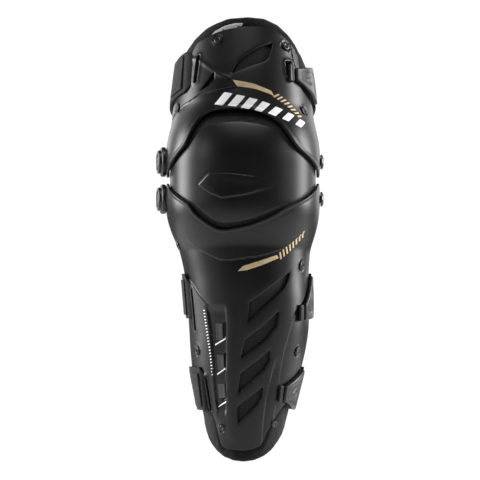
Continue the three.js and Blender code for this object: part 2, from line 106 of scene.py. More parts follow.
def cuff_s(deg, z):
    deg, z = np.broadcast_arrays(np.asarray(deg, float), np.asarray(z, float))
    th = np.radians(deg)
    back = np.abs(deg) > 90
    r0 = section(th, spl(CU_A, z), np.where(back, spl(CU_K, z), spl(CU_B, z)))
    r = np.where((z > 80) & back, r0, smax(hood(th, z, A_H, R_H), r0))
    return np.stack([r * np.sin(th), -r * np.cos(th), z], -1)


def dome_s(deg, z):
    deg, z = np.broadcast_arrays(np.asarray(deg, float), np.asarray(z, float))
    th = np.radians(deg)
    dz = np.where(z < 0, z, np.where(z > GAP, z - GAP, 0))
    r = hood(th, dz, A_D, R_D)
    return np.stack([r * np.sin(th), -r * np.cos(th), z], -1)


def lean(p):
    c, s = math.cos(TILT), math.sin(TILT)
    p = np.asarray(p, float)
    return np.stack([p[..., 0], p[..., 1] * c + p[..., 2] * s, -p[..., 1] * s + p[..., 2] * c + GAP], -1)


def normals(S, deg, z, e=0.06):
    a = S(deg + e, z) - S(deg - e, z)
    b = S(deg, z + e) - S(deg, z - e)
    n = np.cross(a, b)
    return n / np.maximum(np.linalg.norm(n, axis=-1, keepdims=True), 1e-9)


def lift(S, deg, z, h):
    return S(deg, z) + normals(S, deg, z) * np.asarray(h)[..., None]


def on_surface(S, deg, z, h=0.0):
    """(point, outward normal) at one place, in mm, in the surface's own frame."""
    d, zz = np.array([float(deg)]), np.array([float(z)])
    n = normals(S, d, zz)[0]
    return S(d, zz)[0] + n * h, n


# ------------------------------------------------------------------ 2D work in the plane (s, z) = (deg * KD, z)
def P2(points):
    return np.array([(a * KD, b) for a, b in points], float)


def resample(p, step, closed=False):
    p = np.asarray(p, float)
    if closed:
        p = np.vstack([p, p[:1]])
    out = []
    for a, b in zip(p[:-1], p[1:]):
        n = max(1, int(math.ceil(np.linalg.norm(b - a) / step)))
        for k in range(n):
            out.append(a + (b - a) * k / n)
    if not closed:
        out.append(p[-1])
    return np.array(out)


def curve(points, step=1.2, closed=False):
    """A smooth line through the points, in the flat plane."""
    p = np.asarray(points, float)
    n = len(p)
    out = []
    rng = range(n if closed else n - 1)
    for i in rng:
        p0 = p[(i - 1) % n] if closed or i > 0 else 2 * p[0] - p[1]
        p1, p2 = p[i], p[(i + 1) % n]
        p3 = p[(i + 2) % n] if closed or i + 2 < n else 2 * p[-1] - p[-2]
        m = max(2, int(np.linalg.norm(p2 - p1) / step) + 1)
        for k in range(m):
            t = k / m
            out.append(0.5 * (2 * p1 + (p2 - p0) * t + (2 * p0 - 5 * p1 + 4 * p2 - p3) * t * t + (3 * p1 - p0 - 3 * p2 + p3) * t**3))
    if not closed:
        out.append(p[-1])
    return np.array(out)


def fillet(points, r, step=1.0):
    """A closed outline with its corners rounded."""
    p = np.asarray(points, float)
    n = len(p)
    rs = r if hasattr(r, "__len__") else [r] * n
    out = []
    for i in range(n):
        a, b, c = p[i - 1], p[i], p[(i + 1) % n]
        u, v = a - b, c - b
        lu, lv = np.linalg.norm(u), np.linalg.norm(v)
        u, v = u / lu, v / lv
        cut = min(rs[i], lu * 0.45, lv * 0.45)
        q0, q1 = b + u * cut, b + v * cut
        for k in range(5):
            t = k / 4
            out.append((1 - t) ** 2 * q0 + 2 * t * (1 - t) * b + t * t * q1)
    return resample(np.array(out), step, closed=True)


def inside(poly, pts):
    x, y = pts[:, 0], pts[:, 1]
    res = np.zeros(len(pts), bool)
    a, b = poly, np.roll(poly, -1, axis=0)
    for (x0, y0), (x1, y1) in zip(a, b):
        if y0 == y1:
            continue
        m = (y0 > y) != (y1 > y)
        if m.any():
            res[m] ^= x[m] < (x1 - x0) * (y[m] - y0) / (y1 - y0) + x0
    return res


def dist(line, pts, closed=False):
    """(distance, signed side) to a polyline; the side is + on its left."""
    a = line if closed else line[:-1]
    b = np.roll(line, -1, axis=0) if closed else line[1:]
    best = np.full(len(pts), 1e9)
    side = np.zeros(len(pts))
    for p, q in zip(a, b):
        d = q - p
        L = d @ d
        if L < 1e-12:
            continue
        w = pts - p
        t = np.clip((w @ d) / L, 0, 1)
        e = w - t[:, None] * d
        dd = np.hypot(e[:, 0], e[:, 1])
        m = dd < best - 1e-9
        best[m] = dd[m]
        side[m] = np.sign(d[0] * w[m, 1] - d[1] * w[m, 0])
    return best, side


def rings(poly, dists, keep_inside):
    """Points on inset copies of a closed outline."""
    t = np.roll(poly, -1, axis=0) - np.roll(poly, 1, axis=0)
    t /= np.maximum(np.linalg.norm(t, axis=1, keepdims=True), 1e-9)
    nrm = np.stack([-t[:, 1], t[:, 0]], 1)
    out = []
    for d in dists:
        for s in (1, -1):
            q = poly + nrm * d * s
            ok = inside(poly, q) == keep_inside
            if ok.mean() > 0.5:
                q = q[ok]
                dd, _ = dist(poly, q, closed=True)
                out.append(q[dd > d * 0.93])
                break
    return out


def smooth01(x):
    x = np.clip(x, 0, 1)
    return x * x * (3 - 2 * x)


# ------------------------------------------------------------------ meshes
coll = bpy.context.scene.collection


def make(name, verts, faces, mats, face_mats=None, sharp=35, tilt=False):
    v = lean(verts) if tilt else np.asarray(verts, float)
    me = bpy.data.meshes.new(name)
    me.from_pydata((v * MM).tolist(), [], [tuple(int(i) for i in f) for f in faces])
    for m in mats if isinstance(mats, (list, tuple)) else [mats]:
        me.materials.append(m)
    if face_mats is not None:
        me.polygons.foreach_set("material_index", np.asarray(face_mats, np.int32))
    me.polygons.foreach_set("use_smooth", np.ones(len(me.polygons), bool))
    me.validate()
    me.update()
    if sharp:
        me.set_sharp_from_angle(angle=math.radians(sharp))
    o = bpy.data.objects.new(name, me)
    coll.objects.link(o)
    return o


def patch(name, S, outer, holes, mats, depth=3.0, spacing=1.9, lines=(), height=None, edge=0.9, zone=None,
          tilt=False, base=0.0, inner_edge=None, sharp=32, bottom=None):
    """A closed skin over part of a surface. outer and holes are outlines in the flat plane, lines are creases that the mesh follows,
    height(pts) adds relief, edge rounds the rim, zone(pts) picks a material, base lifts the whole skin."""
    loops = [outer] + list(holes)
    con, edges, seen = [], [], 0
    for lp in loops:
        n = len(lp)
        con.append(lp)
        edges += [(seen + i, seen + (i + 1) % n) for i in range(n)]
        seen += n
    for ln in lines:
        con.append(ln)
        edges += [(seen + i, seen + i + 1) for i in range(len(ln) - 1)]
        seen += len(ln)
    lo, hi = outer.min(0), outer.max(0)
    hx, hz = spacing, spacing * 0.866
    gx, gz = np.meshgrid(np.arange(lo[0], hi[0], hx), np.arange(lo[1], hi[1], hz))
    gx = gx + (np.arange(gx.shape[0])[:, None] % 2) * hx / 2
    pts = np.stack([gx.ravel(), gz.ravel()], 1)
    pts = pts[inside(outer, pts)]
    for h in holes:
        pts = pts[~inside(h, pts)]
    e_r = edge if edge else 0.5
    ring_d = [e_r * 0.15, e_r * 0.5, e_r * 1.0, e_r * 1.0 + 0.5]
    dmin, _ = dist(outer, pts, closed=True)
    for h in holes:
        d, _ = dist(h, pts, closed=True)
        dmin = np.minimum(dmin, d)
    pts = pts[dmin > ring_d[-1] + spacing * 0.35]
    for ln in lines:
        d, _ = dist(ln, pts)
        pts = pts[d > spacing * 0.4]
    ring_pts = rings(outer, ring_d, True)
    for h in holes:
        ring_pts += rings(h, ring_d, False)
    ring_pts = np.vstack(ring_pts) if ring_pts else np.zeros((0, 2))
    if len(lines):
        for ln in lines:
            d, _ = dist(ln, ring_pts)
            ring_pts = ring_pts[d > 0.15]
    allp = np.vstack(con + [ring_pts, pts])
    vs, _, fs, _, _, _ = delaunay_2d_cdt([Vector((float(a), float(b))) for a, b in allp], edges, [], 0, 1e-5)
    v = np.array([(q.x, q.y) for q in vs])
    f = np.array([tuple(t) for t in fs if len(t) == 3])
    c = v[f].mean(1)
    ok = inside(outer, c)
    for h in holes:
        ok &= ~inside(h, c)
    a2 = np.cross(v[f[:, 1]] - v[f[:, 0]], v[f[:, 2]] - v[f[:, 0]])
    ok &= np.abs(a2) > 1e-7
    f = f[ok]
    used = np.unique(f)
    remap = -np.ones(len(v), int)
    remap[used] = np.arange(len(used))
    v, f = v[used], remap[f]
    a2 = np.cross(v[f[:, 1]] - v[f[:, 0]], v[f[:, 2]] - v[f[:, 0]])
    f[a2 < 0] = f[a2 < 0][:, ::-1]
    d_edge, _ = dist(outer, v, closed=True)
    for h in holes:
        d, _ = dist(h, v, closed=True)
        d_edge = np.minimum(d_edge, d)
    hgt = np.zeros(len(v)) + base
    if height is not None:
        hgt = hgt + height(v)
    if edge:
        t = np.clip(1 - d_edge / edge, 0, 1)
        hgt_o = hgt - edge * (1 - np.sqrt(np.clip(1 - t * t, 0, 1))) * 0.9
    else:
        hgt_o = hgt
    deg, z = v[:, 0] / KD, v[:, 1]
    top = lift(S, deg, z, hgt_o)
    if bottom is not None:
        low = lift(S, deg, z, bottom(v))
    else:
        ie = inner_edge if inner_edge is not None else min(edge or 0, 0.5)
        low_h = np.zeros(len(v)) + base - depth
        if ie:
            t = np.clip(1 - d_edge / ie, 0, 1)
            low_h = low_h + ie * (1 - np.sqrt(np.clip(1 - t * t, 0, 1))) * 0.9
        low = lift(S, deg, z, low_h)
    n = len(v)
    e = np.vstack([f[:, [0, 1]], f[:, [1, 2]], f[:, [2, 0]]])
    key = np.sort(e, 1)
    _, first, counts = np.unique(key, axis=0, return_index=True, return_counts=True)
    b = e[first[counts == 1]]
    # b runs along the boundary with the skin on its left
    faces = [tuple(t) for t in f] + [tuple(t[::-1] + n) for t in f] + [(q, p, p + n, q + n) for p, q in b]
    fm = None
    if zone is not None:
        zf = zone(v[f].mean(1)).astype(int)
        fm = np.concatenate([zf, np.zeros(len(f), int), np.zeros(len(b), int)])
    return make(name, np.vstack([top, low]), faces, mats, fm, sharp=sharp, tilt=tilt)


def turned(name, profile, base, axis, mat, seg=64, tilt=False, sharp=30):
    """A lathe piece: profile [(radius, height)], starting and ending on the axis, base and axis in mm."""
    axis = Vector(axis).normalized()
    q = Vector((0, 0, 1)).rotation_difference(axis)
    verts, faces = [], []
    ang = [2 * math.pi * k / seg for k in range(seg)]
    idx = []
    for r, h in profile:
        if r < 1e-6:
            verts.append((0, 0, h))
            idx.append([len(verts) - 1])
        else:
            idx.append(list(range(len(verts), len(verts) + seg)))
            verts += [(r * math.cos(a), r * math.sin(a), h) for a in ang]
    for a, b in zip(idx[:-1], idx[1:]):
        for k in range(seg):
            k2 = (k + 1) % seg
            if len(a) == 1 and len(b) == 1:
                continue
            if len(a) == 1:
                faces.append((a[0], b[k2], b[k]))
            elif len(b) == 1:
                faces.append((a[k], a[k2], b[0]))
            else:
                faces.append((a[k], a[k2], b[k2], b[k]))
    v = np.array([list(q @ Vector(p) + Vector(base)) for p in verts])
    return make(name, v, faces, mat, sharp=sharp, tilt=tilt)


def rounded(profile, r=0.5, n=4):
    """Rounds the inner corners of a lathe profile."""
    p = [np.array(q, float) for q in profile]
    out = [tuple(p[0])]
    for a, b, c in zip(p[:-2], p[1:-1], p[2:]):
        u, v = a - b, c - b
        lu, lv = np.linalg.norm(u), np.linalg.norm(v)
        cut = min(r, lu * 0.45, lv * 0.45)
        q0, q1 = b + u / lu * cut, b + v / lv * cut
        for k in range(n + 1):
            t = k / n
            out.append(tuple((1 - t) ** 2 * q0 + 2 * t * (1 - t) * b + t * t * q1))
    out.append(tuple(p[-1]))
    return out


# ------------------------------------------------------------------ materials
def nodes_of(name):
    m = bpy.data.materials.new(name)
    m.use_nodes = True
    nt = m.node_tree
    return m, nt, nt.nodes["Principled BSDF"], nt.nodes.new("ShaderNodeTexCoord")


def noise(nt, co, scale, detail=3.0, rough=0.55):
    n = nt.nodes.new("ShaderNodeTexNoise")
    n.inputs["Scale"].default_value = scale
    n.inputs["Detail"].default_value = detail
    n.inputs["Roughness"].default_value = rough
    nt.links.new(co.outputs["Object"], n.inputs["Vector"])
    return n.outputs["Fac"]


def ramp(nt, src, stops):
    r = nt.nodes.new("ShaderNodeValToRGB")
    el = r.color_ramp.elements
    while len(el) < len(stops):
        el.new(0.5)
    for e, (p, c) in zip(el, stops):
        e.position = p
        e.color = (c, c, c, 1) if not hasattr(c, "__len__") else (*c, 1)
    nt.links.new(src, r.inputs["Fac"])
    return r.outputs["Color"]


def bump(nt, bsdf, layers):
    last = None
    for src, strength, mm in layers:
        b = nt.nodes.new("ShaderNodeBump")
        b.inputs["Strength"].default_value = strength
        b.inputs["Distance"].default_value = mm * MM
        nt.links.new(src, b.inputs["Height"])
        if last is not None:
            nt.links.new(last, b.inputs["Normal"])
        last = b.outputs["Normal"]
    nt.links.new(last, bsdf.inputs["Normal"])


def plastic(name, dark, light, r0, r1, grain=0.35, coat=0.0, wear=0.02):
    """Moulded plastic: fine pebble grain, faint mottling, scuffed lighter edges."""
    m, nt, p, co = nodes_of(name)
    mott = noise(nt, co, 35, 4)
    fine = noise(nt, co, 2600, 2)
    smear = noise(nt, co, 12, 3)
    base = ramp(nt, mott, [(0.3, dark), (0.7, light)])
    geo = nt.nodes.new("ShaderNodeNewGeometry")
    edge = ramp(nt, geo.outputs["Pointiness"], [(0.52, 0.0), (0.60, 1.0)])
    mask = nt.nodes.new("ShaderNodeMath")
    mask.operation = "MULTIPLY"
    nt.links.new(edge, mask.inputs[0])
    nt.links.new(ramp(nt, noise(nt, co, 160, 5), [(0.35, 0.1), (0.65, 1.0)]), mask.inputs[1])
    mix = nt.nodes.new("ShaderNodeMix")
    mix.data_type = "RGBA"
    nt.links.new(mask.outputs[0], mix.inputs["Factor"])
    nt.links.new(base, mix.inputs["A"])
    mix.inputs["B"].default_value = (light[0] + wear, light[1] + wear, light[2] + wear, 1)
    nt.links.new(mix.outputs["Result"], p.inputs["Base Color"])
    nt.links.new(ramp(nt, smear, [(0.3, r0), (0.7, r1)]), p.inputs["Roughness"])
    p.inputs["Coat Weight"].default_value = coat
    p.inputs["Coat Roughness"].default_value = 0.18
    p.inputs["Specular IOR Level"].default_value = 0.33
    bump(nt, p, [(mott, 0.06, 0.25), (fine, grain, 0.05)])
    return m


def wave(nt, co, axis, wavelength_mm, distort=0.0, mapping=None):
    w = nt.nodes.new("ShaderNodeTexWave")
    w.bands_direction = axis
    w.inputs["Scale"].default_value = 2 * math.pi / (20 * wavelength_mm * MM)
    w.inputs["Distortion"].default_value = distort
    w.inputs["Detail"].default_value = 0
    nt.links.new(mapping if mapping else co.outputs["Object"], w.inputs["Vector"])
    return w.outputs["Fac"]


def mathn(nt, op, a, b):
    n = nt.nodes.new("ShaderNodeMath")
    n.operation = op
    for i, x in enumerate((a, b)):
        if isinstance(x, (int, float)):
            n.inputs[i].default_value = x
        else:
            nt.links.new(x, n.inputs[i])
    return n.outputs[0]


def cloth(name, dark, light, rough, pitch, sheen=0.35, kind="knit"):
    """Knit, webbing or open mesh: two crossing thread sets, fuzz and slow colour drift."""
    m, nt, p, co = nodes_of(name)
    fuzz = noise(nt, co, 900, 4)
    slow = noise(nt, co, 18, 3)
    if kind == "webbing":
        a = wave(nt, co, "Z", pitch, 0.0)
        b = wave(nt, co, "DIAGONAL", pitch * 0.8, 0.0)
        weave = mathn(nt, "ADD", mathn(nt, "MULTIPLY", a, 0.8), mathn(nt, "MULTIPLY", b, 0.25))
    elif kind == "mesh":
        a = wave(nt, co, "Z", pitch, 0.0)
        b = wave(nt, co, "X", pitch, 0.0)
        weave = mathn(nt, "MULTIPLY", a, b)
    else:
        a = wave(nt, co, "Z", pitch, 0.6)
        b = wave(nt, co, "X", pitch * 1.25, 0.6)
        weave = mathn(nt, "MAXIMUM", a, b)
    if kind == "mesh":
        col = ramp(nt, weave, [(0.25, light), (0.5, dark)])
        depth = 0.7
    else:
        tone = mathn(nt, "ADD", mathn(nt, "MULTIPLY", weave, 0.5), mathn(nt, "MULTIPLY", slow, 0.5))
        col = ramp(nt, tone, [(0.2, dark), (0.8, light)])
        depth = 0.35
    nt.links.new(col, p.inputs["Base Color"])
    p.inputs["Roughness"].default_value = rough
    p.inputs["Sheen Weight"].default_value = sheen
    p.inputs["Sheen Roughness"].default_value = 0.5
    p.inputs["Specular IOR Level"].default_value = 0.25
    bump(nt, p, [(weave, 0.55, depth), (fuzz, 0.35, 0.12)])
    return m


def ink(name, dark, light, rough, metallic=0.0):
    """Printed film, and white film for painted highlights: slightly uneven cover."""
    m, nt, p, co = nodes_of(name)
    n = noise(nt, co, 220, 5)
    nt.links.new(ramp(nt, n, [(0.3, dark), (0.7, light)]), p.inputs["Base Color"])
    p.inputs["Roughness"].default_value = rough
    p.inputs["Metallic"].default_value = metallic
    bump(nt, p, [(noise(nt, co, 2600, 2), 0.2, 0.03)])
    return m


M_SHELL = plastic("shell_satin", (0.0040, 0.0034, 0.0040), (0.0070, 0.0060, 0.0070), 0.32, 0.42)
M_CUP = plastic("cup_gloss", (0.0036, 0.0032, 0.0037), (0.0060, 0.0055, 0.0062), 0.36, 0.43, grain=0.12)
M_BAND = cloth("cup_band_mesh", (0.0012, 0.0012, 0.0015), (0.006, 0.0055, 0.0065), 0.6, 1.7, 0.0, "mesh")
M_BUCKLE = plastic("buckle_satin", (0.010, 0.010, 0.011), (0.016, 0.016, 0.017), 0.34, 0.44, grain=0.5)
M_CAP = plastic("cap_satin", (0.010, 0.010, 0.011), (0.015, 0.015, 0.016), 0.30, 0.40, grain=0.3)
M_PAD = cloth("liner_knit", (0.0022, 0.0022, 0.0025), (0.0065, 0.0063, 0.007), 0.85, 1.1, 0.05)
M_PAD2 = cloth("lining_brushed", (0.006, 0.006, 0.007), (0.016, 0.016, 0.018), 0.9, 1.6, 0.12)
M_MESH = cloth("vent_mesh", (0.0006, 0.0006, 0.0008), (0.014, 0.013, 0.015), 0.7, 2.3, 0.0, "mesh")
M_STRAP = cloth("strap_webbing", (0.003, 0.003, 0.0034), (0.010, 0.010, 0.011), 0.75, 1.3, 0.04, "webbing")
M_THREAD = cloth("strap_thread", (0.006, 0.006, 0.0065), (0.018, 0.018, 0.020), 0.8, 0.6, 0.05, "webbing")
M_GOLD = ink("gold_film", (0.52, 0.40, 0.21), (0.66, 0.53, 0.31), 0.38, 0.15)
M_GOLD2 = ink("gold_film_dark", (0.17, 0.125, 0.055), (0.26, 0.20, 0.10), 0.42, 0.25)
M_CREAM = ink("cream_film", (0.74, 0.62, 0.48), (0.86, 0.75, 0.62), 0.4)
# white_film is both the white print and the painted highlights on the small vents' lower lips.
M_WHITE = ink("white_film", (0.90, 0.90, 0.91), (0.97, 0.97, 0.98), 0.42)
M_GREY = ink("grey_film", (0.030, 0.029, 0.031), (0.046, 0.045, 0.048), 0.35)
M_RIVET = plastic("rivet_black", (0.012, 0.012, 0.013), (0.022, 0.022, 0.024), 0.16, 0.24, grain=0.05)
M_STEEL = ink("rivet_steel", (0.45, 0.45, 0.46), (0.60, 0.60, 0.61), 0.28, 0.9)
M_NYLON = ink("washer_nylon", (0.62, 0.61, 0.58), (0.72, 0.71, 0.68), 0.5)

CHILD = {}


def place(o, body, slot, *nodes):
    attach(o, body)
    if nodes:
        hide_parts(*nodes)
    return o


# ------------------------------------------------------------------ shin shell
SHIN_TOP = [(-73.6, 12.6), (-65, 7.6), (-57.6, 3.2), (-46.7, -4.3), (-43, -9.5), (-39.6, -16), (-32.3, -24.6), (-24.8, -31), (-19, -33.2), (-10.2, -32.1), (5.8, -27.8), (22.5, -19.3), (38.3, -7.5), (52.1, 0), (65, 8), (73.6, 12.6)]
SHIN_LOW = [(-102, -206), (-70, -212), (-52, -222), (-42.4, -233), (-36, -251), (-29.7, -264), (-18.2, -267.5), (4.1, -268.6), (23.5, -262.2), (30.4, -249.3), (39.8, -234), (52, -222), (70, -212), (102, -206)]


def disc_arc(cdeg, cz, r, a0, a1, n=26):
    return [(cdeg + r / KD / 1.19 * math.cos(a), cz + r * math.sin(a)) for a in np.linspace(math.radians(a0), math.radians(a1), n)]


def shin_outline():
    top = curve(P2(SHIN_TOP), 1.2)
    lowl = curve(P2(SHIN_LOW[::-1]), 1.2)
    right = P2([(73.6 + (90 - 73.6) * s, 12.6 + 4.4 * math.sin(s * math.pi / 2)) for s in np.linspace(0.08, 1, 12)] + [(90 + 12.2 * math.sin(a), 17 * math.cos(a)) for a in np.linspace(0.12, math.pi / 2, 12)])
    left = right[::-1] * np.array([-1, 1])
    rr = resample(P2([(102, -1), (102, -205)]), 1.6)
    ll = resample(P2([(-102, -206), (-102, -1)]), 1.6)
    return np.vstack([top[:-1], right, rr, lowl, ll, left])


V_BIG = [
    [(0.6, -111.3), (14.1, -101.6), (32.8, -86.7), (44.2, -78.1), (41.6, -87.7), (35.7, -97.4), (16.7, -113.4), (-1.0, -131.6)],
    [(-3.8, -150.9), (13.5, -137.0), (31.1, -119.8), (29.1, -134.8), (17.4, -150.9), (-7.1, -170.1)],
    [(-6.3, -186.2), (9.6, -174.4), (23.6, -161.6), (24.8, -172.3), (20.2, -180.8), (-9.2, -207.6)],
    [(-10.3, -222.6), (4.8, -211.9), (19.4, -201.2), (18.8, -210.8), (13.4, -219.4), (-8.8, -239.7)],
]
V_SMALL = [
    [(-33.2, -136.5), (-25.0, -131.5), (-25.1, -146.6), (-32.7, -150.4)],
    [(-30.6, -168.6), (-24.8, -164.5), (-24.4, -179.8), (-30.0, -182.6)],
    [(-28.4, -200.6), (-24.4, -197.0), (-24.7, -212.9), (-28.3, -215.1)],
]
SLOTS = [[(-65.8, -96), (-63.0, -95), (-61.4, -141), (-64.0, -141)], [(-50.4, -190), (-47.6, -190), (-44.4, -226), (-46.9, -226.5)]]
CREASE = curve(P2([(-84, 2), (-76, -8), (-68.3, -22.5), (-61.4, -35.3), (-53.6, -47.1), (-38.9, -56.7), (-22.7, -64.2), (-12, -63.8), (-0.3, -62.1), (19.1, -58.8), (39.0, -51.4), (53.3, -39.6), (64.4, -27.8), (76, -8), (84, 2)]), 1.3)
WING_L = curve(P2([(-80, -74), (-75.7, -82.4), (-64.1, -89.9), (-51.4, -104.9), (-45.2, -111.3)]), 1.2)
WING_L2 = resample(P2([(-45.2, -111.3), (-42.8, -138.0), (-39.7, -172.3), (-38.0, -215.1), (-36.0, -226)]), 1.4)
WING_R = curve(P2([(86, -98), (70, -106), (51.1, -118.8), (45.0, -134.8), (41.6, -150.9), (39.0, -166.9), (38.5, -191.5), (38, -214)]), 1.3)
RIDGE_L = resample(P2([(-24.0, -118), (-24.0, -215), (-26.5, -262)]), 1.5)
RIDGE_R = resample(P2([(31.0, -170), (27.5, -190), (23.5, -215), (21.5, -240), (23.0, -262)]), 1.5)
outS = shin_outline()
holesS = [fillet(P2(p), 2.2) for p in V_BIG] + [fillet(P2(p), 0.9, 0.8) for p in V_SMALL] + [fillet(P2(p), 1.2, 0.9) for p in SLOTS]


def both_sides(line, off):
    t = np.gradient(line, axis=0)
    t /= np.maximum(np.linalg.norm(t, axis=1, keepdims=True), 1e-9)
    n = np.stack([-t[:, 1], t[:, 0]], 1)
    return [line + n * off, line - n * off]


def shin_relief(p):
    deg, z = p[:, 0] / KD, p[:, 1]
    h = np.zeros(len(p))
    # the hood stands over the plate below it
    d, s = dist(CREASE, p)
    below = (s < 0) & (np.abs(deg) < 86)
    fade = smooth01((86 - np.abs(deg)) / 14)
    h -= np.where(below, 1.5 * np.exp(-d / 11) * fade, 0) * smooth01(d / 0.55)
    # a rolled lip along the upper edge
    d, s = dist(TOP_LINE, p)
    h += 0.45 * np.exp(-((d - 1.2) / 1.1) ** 2) - 0.35 * np.exp(-((d - 3.6) / 0.7) ** 2)
    # left wing: stands above the channel beside it
    chan = smooth01((-112 - z) / 10)
    left = lin([(-226, -36.0), (-215, -38.0), (-172, -39.7), (-138, -42.8), (-111, -45.2)], z)
    rid = lin([(-262, -26.5), (-215, -24.0), (-118, -24.0)], z)
    a = (deg - left) * 0.95
    b = (rid - deg) * 0.95
    m = (a > 0) & (b > -1.5) & (z < -104) & (z > -262)
    endf = smooth01((z + 236) / 16)
    ch = smooth01(a / 0.7) * smooth01((b + 1.2) / 1.6)
    h -= np.where(m, 2.3 * ch * chan * (endf), 0)
    # the wing's own upper edge
    d, s = dist(WING_L, p)
    h -= np.where((s > 0) & (z < -60), 1.1 * np.exp(-d / 7) * smooth01(d / 0.5) * smooth01((-74 - z) / 12), 0)
    # right wing tucks under the centre plate
    d, s = dist(WING_R, p)
    right_side = (s > 0) & (z < -96)
    h -= np.where(right_side, 1.3 * smooth01(d / 0.55) * np.exp(-d / 16), 0)
    # right flank falls away from the lower centre facet
    d, s = dist(RIDGE_R, p)
    h -= np.where((s > 0) & (z < -168), 1.9 * smooth01(d / 2.2) * np.exp(-d / 13) * smooth01((-168 - z) / 14), 0)
    # spine along the ridge and scalloped bars between the vents
    h += 0.9 * np.exp(-(((deg + 17) * 0.95) / 6.5) ** 2) * smooth01((-100 - z) / 30) * smooth01((z + 266) / 20)
    for hp in holesS[:4]:
        d, _ = dist(hp, p, closed=True)
        h -= 0.55 * np.exp(-d / 1.5)
    for hp in holesS[4:7]:
        d, _ = dist(hp, p, closed=True)
        h -= 0.5 * np.exp(-d / 1.6)
    # raised collars round the strap slots
    for hp in holesS[7:]:
        d, _ = dist(hp, p, closed=True)
        h += 0.7 * np.exp(-((d - 1.6) / 1.4) ** 2)
    # rivet seats
    for (rd, rz), r in SHIN_RIV.values():
        k = KD if abs(rd) < 35 else 1.15
        d = np.hypot((deg - rd) * 1.15, z - rz)
        h -= 0.75 * smooth01((r + 1.6 - d) / 0.9) - 0.3 * np.exp(-((d - r - 2.0) / 0.8) ** 2)
    return h


TOP_LINE = curve(P2(SHIN_TOP), 1.2)
SHIN_RIV = {"upper_left": ((-78.9, -50.3), 5.0), "upper_right": ((61.1, -71.7), 5.0), "mid_left": ((-61.4, -162.6), 5.0),
            "mid_right": ((59.8, -163.7), 5.0), "lower_left": ((-29.6, -245.0), 3.6), "lower_right": ((38.5, -240.8), 3.6)}
SP = 1.75
linesS = both_sides(CREASE[6:-6], 0.28) + both_sides(WING_R[4:], 0.28) + both_sides(WING_L2, 0.3) + both_sides(WING_L[3:-3], 0.28)
shin = patch("shin_shell_fine", shin_s, outS, holesS, M_SHELL, depth=3.0, spacing=SP, lines=linesS, height=shin_relief, edge=0.9)
place(shin, "shin", "shell_plastic", "shin_shell")
print("shin", len(shin.data.polygons))


def front_map(S, tilt, zlo, zhi, dlo=-89.5, dhi=89.5):
    """Finds (deg, z) on a surface from a front-view place: x and height in mm from the frame's origin."""
    D, Z = np.meshgrid(np.arange(dlo, dhi, 0.5), np.arange(zlo, zhi, 0.5))
    p = S(D, Z)
    q = lean(p) if tilt else p

    def f(points):
        out = []
        for x, h in points:
            e = (q[..., 0] - x) ** 2 + (q[..., 2] - h) ** 2
            k = np.unravel_index(np.argmin(e), e.shape)
            out.append((D[k], Z[k]))
        return out
    return f


def fv(points):
    """Front-view grid steps of 1.07 mm to mm."""
    return [((a - 243) * 1.07, (199 - b) * 1.07) for a, b in points]


on_cuff = front_map(cuff_s, True, -25, 135)
on_shin = front_map(shin_s, False, -275, 25)
on_dome = front_map(dome_s, False, -60, 100)


def pivot_hole(deg, z, A, r=4.5, n=20):
    k = A * math.pi / 180
    return np.array([(deg * KD + r * KD / k * math.cos(a), z + r * math.sin(a)) for a in np.linspace(0, 2 * math.pi, n, endpoint=False)])


# ------------------------------------------------------------------ cuff shell
CUFF_ARCH = [(-73, -16), (-64, -13.2), (-55.8, -9.2), (-47.8, -2.4), (-41.1, 14), (-36.1, 24.9), (-32.2, 28.9), (-23.9, 32.3), (-2.6, 33.1), (10.2, 30.9), (22.6, 24.5), (30.3, 17.2), (34.8, 8.5), (43.3, -5.4), (53.1, -11.5), (64, -14.6), (73, -16.2)]
CUFF_TOP = [(-102, 50), (-90, 55), (-72.2, 61.7), (-58, 64.3), (-51.5, 67), (-50.5, 103), (-44.6, 116.3), (-35, 120.3), (-20.7, 125.5), (-2.7, 128.9), (17.1, 129.8), (29.3, 128.4), (39.4, 122.9), (48.2, 115.3), (54.5, 105.5), (56, 68), (62, 64), (75, 60.5), (90, 55), (102, 50)]


def cuff_outline():
    arch = curve(P2(CUFF_ARCH), 1.2)
    rd = [(73 + 17 * s, -16.2 - 0.8 * s) for s in np.linspace(0.1, 1, 10)] + [(90 + 12.2 * math.sin(a), -17 * math.cos(a)) for a in np.linspace(0.12, math.pi / 2, 12)]
    right = P2(rd)
    left = right[::-1] * np.array([-1, 1])
    top = fillet(P2(CUFF_TOP), 3.0, 1.3) if False else None
    segs = P2(CUFF_TOP)
    tl = curve(segs[0:4], 1.3)
    n1 = resample(np.vstack([curve(segs[3:5], 1.3)[-1:], segs[5:6]]), 1.4)
    mid = curve(segs[5:15], 1.2)
    n2 = resample(np.vstack([segs[14:15], segs[15:16]]), 1.4)
    tr = curve(segs[15:20], 1.3)
    upper = np.vstack([tl[:-1], curve(segs[3:5], 1.2)[:-1], n1[:-1], mid[:-1], n2[:-1], tr])
    rr = resample(P2([(102.1, 1), (102, 49)]), 1.6)[:-1]
    ll = resample(P2([(-102, 49), (-102.1, 1)]), 1.6)[:-1]
    return np.vstack([arch[:-1], right, rr, upper[::-1], ll, left])


